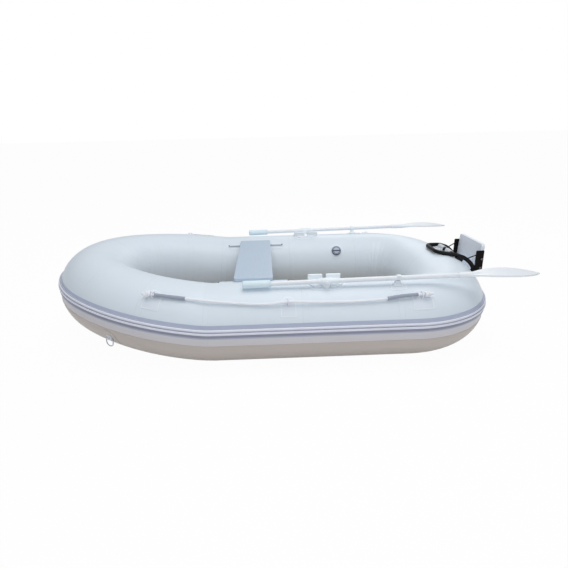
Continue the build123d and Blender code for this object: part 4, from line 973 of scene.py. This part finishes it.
def straps(cloth):
    """Webbing round the rings' bars, cloth over the seat's rods and the bracket's cross tube."""
    webbing = pale_webbing()
    over_ring = strap_profile(0.0036, 0.0028, neck=0.0010, foot=0.018, thickness=WEBBING_THICKNESS)
    base = 2 * GLUE + CLOTH
    tabs = [
        strap(f"ring_tab_{number}_{side}", station, angle, over_ring,
              WEBBING_WIDTH, WEBBING_THICKNESS, base, side, False)
        for number, (station, angle) in enumerate(RINGS)
        for side in (1, -1)
    ]
    tabs = joined("grab_line_webbing_straps", tabs)
    finish_piece(tabs, webbing, "hull", "webbing", "grab_line_webbing")
    over_tow_ring = strap_profile(0.0052, 0.0030, neck=0.0012, foot=0.024, thickness=WEBBING_THICKNESS)
    tabs = [
        strap(f"tow_tab_{side}", *TOW_RING, over_tow_ring,
              WEBBING_WIDTH, WEBBING_THICKNESS, base + CLOTH, side, True)
        for side in (1, -1)
    ]
    tabs = joined("tow_ring_webbing_straps", tabs)
    finish_piece(tabs, webbing, "hull", "webbing", "tow_ring_webbing")

    over_rod = strap_profile(0.009, 0.0032, neck=0.0006, foot=0.024, thickness=SEAT_SLEEVE_THICKNESS)
    for name, side in SIDES:
        piece = strap(f"{name}_seat_sleeve", *SEAT_ROD, over_rod,
                      SEAT_SLEEVE_LENGTH, SEAT_SLEEVE_THICKNESS, GLUE, side, True, 24)
        finish_piece(piece, cloth, "hull", "hull_pvc", f"{name}_seat_flap")
    over_tube = strap_profile(0.0140, 0.0094, neck=0.0120, foot=0.016, thickness=SADDLE_THICKNESS)
    saddles = [
        strap(f"saddle_{side}", *SADDLE, over_tube, SADDLE_LENGTH, SADDLE_THICKNESS, GLUE, side, True)
        for side in (1, -1)
    ]
    saddles = joined("bracket_saddle_cloths", saddles)
    finish_piece(saddles, saddle_cloth(), "hull", "white_saddle_cloth", "bracket_saddles")


def bottom_cloth():
    """The floor skin: one sheet across the ring, raised with the tubes at the bow."""
    columns = 24
    clear_selection()
    bpy.ops.mesh.primitive_grid_add(x_subdivisions=columns, y_subdivisions=len(STATIONS) - 1, size=1.0)
    piece = bpy.context.object
    piece.name = piece.data.name = "bottom_skin_cloth"
    layer = piece.data.uv_layers.active
    layer.name = "cloth"
    for vertex in piece.data.vertices:
        row, column = divmod(vertex.index, columns + 1)
        edge = on_tube(STATIONS[row], -90.0, CLOTH / 2)
        share = column / columns
        vertex.co = (edge.x, edge.y * (1 - share), edge.z)
    for loop in piece.data.loops:
        place = piece.data.vertices[loop.vertex_index].co
        layer.data[loop.index].uv = (place.x, place.y)
    close_ring(piece)
    edit_all(piece)
    bpy.ops.mesh.remove_doubles(threshold=MERGE_DISTANCE / 2)
    leave_edit_mode()
    thicken(piece, CLOTH, 30)
    return piece


# ---- grab lines -------------------------------------------------------------------------
ROPE_ROUTE = [
    (-0.53651, -0.58623, 0.37393), (-0.33974, -0.60434, 0.34797), (-0.21427, -0.61079, 0.33285),
    (-0.03427, -0.62271, 0.32068), (0.056, -0.62182, 0.33151), (0.084, -0.62182, 0.33151),
    (0.21573, -0.62165, 0.32393), (0.36573, -0.62249, 0.32235), (0.49573, -0.61982, 0.32647),
    (0.58073, -0.61204, 0.33904), (0.67979, -0.60954, 0.34139),
]


def route_points(side):
    """Points read along the grab line's smooth curve."""
    data = bpy.data.curves.new("route", "CURVE")
    data.dimensions = "3D"
    data.resolution_u = 24
    spline = data.splines.new("NURBS")
    spline.points.add(len(ROPE_ROUTE) - 1)
    for point, (x, y, z) in zip(spline.points, ROPE_ROUTE):
        point.co = (x, y * side, z, 1.0)
    spline.order_u = 3
    spline.use_endpoint_u = True
    holder = bpy.data.objects.new("route", data)
    bpy.context.scene.collection.objects.link(holder)
    bpy.context.view_layer.update()
    mesh = bpy.data.meshes.new_from_object(holder)
    points = [vertex.co.copy() for vertex in mesh.vertices]
    bpy.data.objects.remove(holder)
    bpy.data.meshes.remove(mesh)
    bpy.data.curves.remove(data)
    return points


def tube_on(name, points, radius, sides=20):
    """A round tube along points, mapped along and round; radius may change on the way."""
    travelled = distances(points)
    vertices, faces = [], []
    side = None
    for number, point in enumerate(points):
        ahead = points[min(number + 1, len(points) - 1)] - points[max(number - 1, 0)]
        ahead.normalize()
        if side is None:
            side = ahead.orthogonal()
        side = (side - ahead * side.dot(ahead)).normalized()
        other = ahead.cross(side)
        width = radius(travelled[number] / travelled[-1]) if callable(radius) else radius
        for slot in range(sides):
            turn = 2 * math.pi * slot / sides
            vertices.append(point + (side * math.cos(turn) + other * math.sin(turn)) * width)
    for ring in range(len(points) - 1):
        here, ahead = ring * sides, (ring + 1) * sides
        for slot in range(sides):
            after = (slot + 1) % sides
            faces.append((here + slot, here + after, ahead + after, ahead + slot))
    last = (len(points) - 1) * sides
    faces.append(tuple(reversed(range(sides))))
    faces.append(tuple(last + slot for slot in range(sides)))
    mesh = bpy.data.meshes.new(name)
    mesh.from_pydata([tuple(vertex) for vertex in vertices], [], faces)
    piece = bpy.data.objects.new(name, mesh)
    bpy.context.scene.collection.objects.link(piece)
    girth = 2 * math.pi * (radius(0.5) if callable(radius) else radius)
    lay_cloth_map(piece, travelled, [girth * slot / sides for slot in range(sides + 1)])
    make_consistent(piece)
    smooth(piece, 60)
    return piece


def cut_between(points, low, high):
    """The stretch of a route between two distances along it."""
    return [
        point for point, travelled in zip(points[:-1], distances(points)) if low <= travelled <= high
    ]


KNOT_TURNS = 2.1
KNOT_PITCH = 0.010304
KNOT_RADIUS = 0.0092            # from the rope's middle to the middle of the wound strand
KNOT_START = 0.0045             # beyond the rope's end
KNOT_STRAND = 0.0054
KNOT_SIDES = 14
CROSSING_RADIUS = 0.0115
CROSSING_STRAND = 0.0042
TAIL_START = 0.022
TAIL_LENGTH = 0.018
TAIL_DROOP = 0.0035
SLEEVE_RADIUS = 0.008


def shares(steps):
    """Evenly spaced shares from 0 to 1, both of them in."""
    return [number / steps for number in range(steps + 1)]


def stopper_knot(name, end, outward, side):
    """The rope's end, wound twice round itself and drawn tight, with a short tail."""
    outward = outward.normalized()
    across = outward.orthogonal().normalized()
    other = outward.cross(across)

    def around(turn, away, radius):
        return end + outward * away + (across * math.cos(turn) + other * math.sin(turn)) * radius

    wound = []
    for share in shares(84):
        swell = KNOT_RADIUS * min(1.0, share / 0.10 + 0.25, (1 - share) / 0.10 + 0.25)
        away = KNOT_START + KNOT_TURNS * KNOT_PITCH * share
        wound.append(around(2 * math.pi * KNOT_TURNS * share, away, swell))
    wraps = tube_on(name, wound, KNOT_STRAND, KNOT_SIDES)
    cross = []
    for share in shares(16):
        bulge = CROSSING_RADIUS + 0.0018 * math.sin(math.pi * share)
        cross.append(around(math.radians(200 - 250 * share), 0.004 + 0.020 * share, bulge))
    over = tube_on(name + "_over", cross, CROSSING_STRAND, KNOT_SIDES)
    droop = TAIL_DROOP * side
    tail_points = [
        end + outward * (TAIL_START + TAIL_LENGTH * share) + other * (droop * share**2)
        for share in shares(10)
    ]
    tail = tube_on(name + "_tail", tail_points, tail_radius, KNOT_SIDES)
    return joined(name, [wraps, over, tail])


def tail_radius(share):
    """The tail's radius; the cut end is frayed a little wider."""
    return 0.0055 + 0.0012 * share**3


def sleeve_radius(share):
    """A cloth sleeve's radius, a little uneven along it."""
    return SLEEVE_RADIUS + 0.0005 * math.sin(share * 44) * math.sin(share * 17 + 1)


def grab_lines():
    """The two ropes, each with a sleeve near either end and a knot beyond its last ring."""
    rope_finish, cloth = braided_rope(), sleeve_cloth()
    sleeves, knots = [], []
    for name, side in SIDES:
        points = route_points(side)
        total = distances(points)[-1]
        rope = tube_on(f"{name}_grab_rope", points, ROPE_RADIUS)
        finish_piece(rope, rope_finish, "hull", "white_rope", f"{name}_grab_line")
        knots.append(stopper_knot(f"{name}_bow_knot", points[0], points[0] - points[1], side))
        knots.append(stopper_knot(f"{name}_stern_knot", points[-1], points[-1] - points[-2], side))
        stern_sleeve = [total - distance for distance in STERN_SLEEVE]
        for label, (low, high) in (("bow", BOW_SLEEVE), ("stern", stern_sleeve)):
            stretch = cut_between(points, low, high)
            sleeve = tube_on(f"{name}_{label}_sleeve", stretch, sleeve_radius)
            finish_piece(sleeve, cloth, "hull", "sleeve_cloth")
            sleeves.append(sleeve)
    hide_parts("grab_line_sleeves")
    knots = joined("grab_line_stopper_knots", knots)
    finish_piece(knots, rope_finish, "hull", "white_rope", "grab_line_knots")


# ---- put the finishes on ----------------------------------------------------------------
def dress(material, *names):
    """Give the frame's own nodes a material."""
    for name in names:
        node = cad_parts[name]
        node.data.materials.clear()
        node.data.materials.append(material)


def dress_frame():
    """Every rigid piece that the frame already has, in its own finish."""
    dress(slat_wood(), "floor_slats")
    dress(bare_metal("drawn_aluminium", paint(74, 80, 90), 0.36), *both("seat_rod"))
    pale = moulded("pale_grey_plastic", paint(240, 247, 255))
    dress(pale, *both("oarlock_base", "oarlock_collar", "oar_clip", "seat_runner", "oar_stops"))
    dark = moulded("dark_grey_plastic", paint(138, 150, 168), 0.36)
    dress(dark, *both("valve_body"), "valve_poppets")
    dress(valve_cap_plastic(), *both("valve_cap"))
    dress(moulded("white_nut_plastic", paint(232, 234, 238)), *both("oarlock_nut"))
    steel = bare_metal("stainless_steel", paint(190, 190, 192), 0.28)
    dress(steel, "seat_screws", *both("oarlock_pin"))
    dress(painted_plywood("seat_paint", paint(190, 206, 223), (26.0, 1.2, 4.0)), "seat_board")
    dress(coated_metal("white_shaft_coat", paint(239, 244, 249), 0.3), *both("oar_shaft"))
    dress(moulded("grey_green_grip", paint(224, 241, 249), 0.5, 120.0), *both("oar_grip"))
    dress(moulded("pale_blade_plastic", paint(243, 248, 255), 0.34), *both("oar_blade"))
    # painted highlight: the grab-line rings are the same metal as the tow rings, painted paler where
    # they sit lit on top of the tubes
    dress(coated_metal("ring_coat_painted_highlight", paint(234, 238, 248), 0.34), "grab_line_rings")
    dress(coated_metal("grey_ring_coat", paint(206, 211, 223), 0.34), *both("tow_ring"))
    black_tube = coated_metal("black_tube_coat", paint(12, 12, 15), 0.45, gloss=0.03, shine=0.2)
    dress(black_tube, "bracket_frame")
    black_plate = coated_metal("black_plate_coat", paint(14, 11, 12), 0.55, gloss=0.0, shine=0.12)
    dress(black_plate, "bracket_plates")
    dress(painted_plywood("board_paint", paint(238, 243, 255), (4.0, 1.2, 26.0)), "bracket_board")
    dress(coated_metal("bronze_bolt_coat", paint(112, 96, 96), 0.5, metallic=0.4), "bracket_bolts")
    dress(soft_rubber(), "bracket_feet")


# ---- studio -----------------------------------------------------------------------------
def lay_floor():
    """A pale floor that looks near white by itself and still takes the boat's shadow."""
    clear_selection()
    bpy.ops.mesh.primitive_plane_add(size=240.0, location=(0, 0, -0.0008))
    floor = bpy.context.object
    floor.name = "floor"
    finish = Finish("floor_paint", (0.86, 0.855, 0.85, 1.0), 0.9)
    rays = finish.node("ShaderNodeLightPath").outputs
    seen = Amount(finish, rays["Is Camera Ray"]) + Amount(finish, rays["Is Glossy Ray"])
    seen = (seen + Amount(finish, rays["Is Transmission Ray"])).least(1.0) * 0.97
    glow = finish.node("ShaderNodeEmission", Color=WHITE, Strength=1.0)
    blend = finish.node(
        "ShaderNodeMixShader", i0=seen, i1=finish.shader.outputs[0], i2=glow.outputs[0]
    )
    out = next(node for node in finish.nodes if node.type == "OUTPUT_MATERIAL")
    finish.links.new(blend.outputs[0], out.inputs[0])
    floor.data.materials.append(finish.material)


def light_world():
    """Soft light from all round, and plain white where the camera sees past the floor."""
    world = bpy.data.worlds.new("studio")
    world.use_nodes = True
    bpy.context.scene.world = world
    nodes, links = world.node_tree.nodes, world.node_tree.links
    soft = next(node for node in nodes if node.type == "BACKGROUND")
    plain = nodes.new("ShaderNodeBackground")
    for background, colour, strength in ((soft, (0.93, 0.96, 1.0, 1.0), 0.42), (plain, WHITE, 1.0)):
        background.inputs[0].default_value = colour
        background.inputs[1].default_value = strength
    path = nodes.new("ShaderNodeLightPath")
    mixer = nodes.new("ShaderNodeMixShader")
    out = next(node for node in nodes if node.type == "OUTPUT_WORLD")
    links.new(path.outputs["Is Camera Ray"], mixer.inputs[0])
    links.new(soft.outputs[0], mixer.inputs[1])
    links.new(plain.outputs[0], mixer.inputs[2])
    links.new(mixer.outputs[0], out.inputs[0])


def studio():
    lay_floor()
    light_world()
    # place, target, size, power and colour
    area_lamp("overhead", (0.2, -0.6, 3.6), (0.0, 0.0, 0.2), (3.2, 2.6), 62.0, (1.0, 0.99, 0.97))
    area_lamp("front", (0.5, -3.4, 2.0), (0.0, 0.0, 0.2), (2.2, 1.6), 17.0, (0.96, 0.975, 1.0))
    area_lamp("back", (1.4, 3.0, 2.2), (0.0, 0.0, 0.3), (2.4, 1.4), 20.0, (1.0, 1.0, 1.0))
    bpy.context.scene.view_settings.view_transform = "Standard"


# ---- the boat ---------------------------------------------------------------------------
def hull_cloths():
    """The tubes, and everything of cloth or rubber that is glued on them."""
    chambers = both("air_chamber")
    finish_piece(hull_tubes(), hull_cloth(), "hull", "hull_pvc", *chambers, "chamber_baffles")
    bottom_face = under_cloth("bottom_cloth", paint(207, 199, 193))
    # the wrap's cloth takes painted shade, darker towards the keel
    wrap_face = under_cloth("bottom_wrap_cloth", paint(202, 193, 187), painted_shade=True)
    finish_piece(bottom_cloth(), bottom_face, "hull", "hull_pvc", "bottom_skin")
    wrap = cloth_band("bottom_wrap_cloth", *WRAP_ANGLES, GLUE / 2)
    finish_piece(wrap, wrap_face, "hull", "hull_pvc", "bottom_wrap")
    tape = cloth_band("strake_tape_cloth", *TAPE_ANGLES, GLUE)
    finish_piece(tape, edge_tape(), "hull", "blue_grey_tape", "strake_tape")
    patch_face = patch_cloth()
    patches(patch_face, wrap_face)
    straps(patch_face)
    finish_piece(rubbing_strake(), strake_rubber(), "hull", "strake_rubber", "rubbing_strake")


set_camera()
studio()
grab_lines()
dress_frame()
hull_cloths()
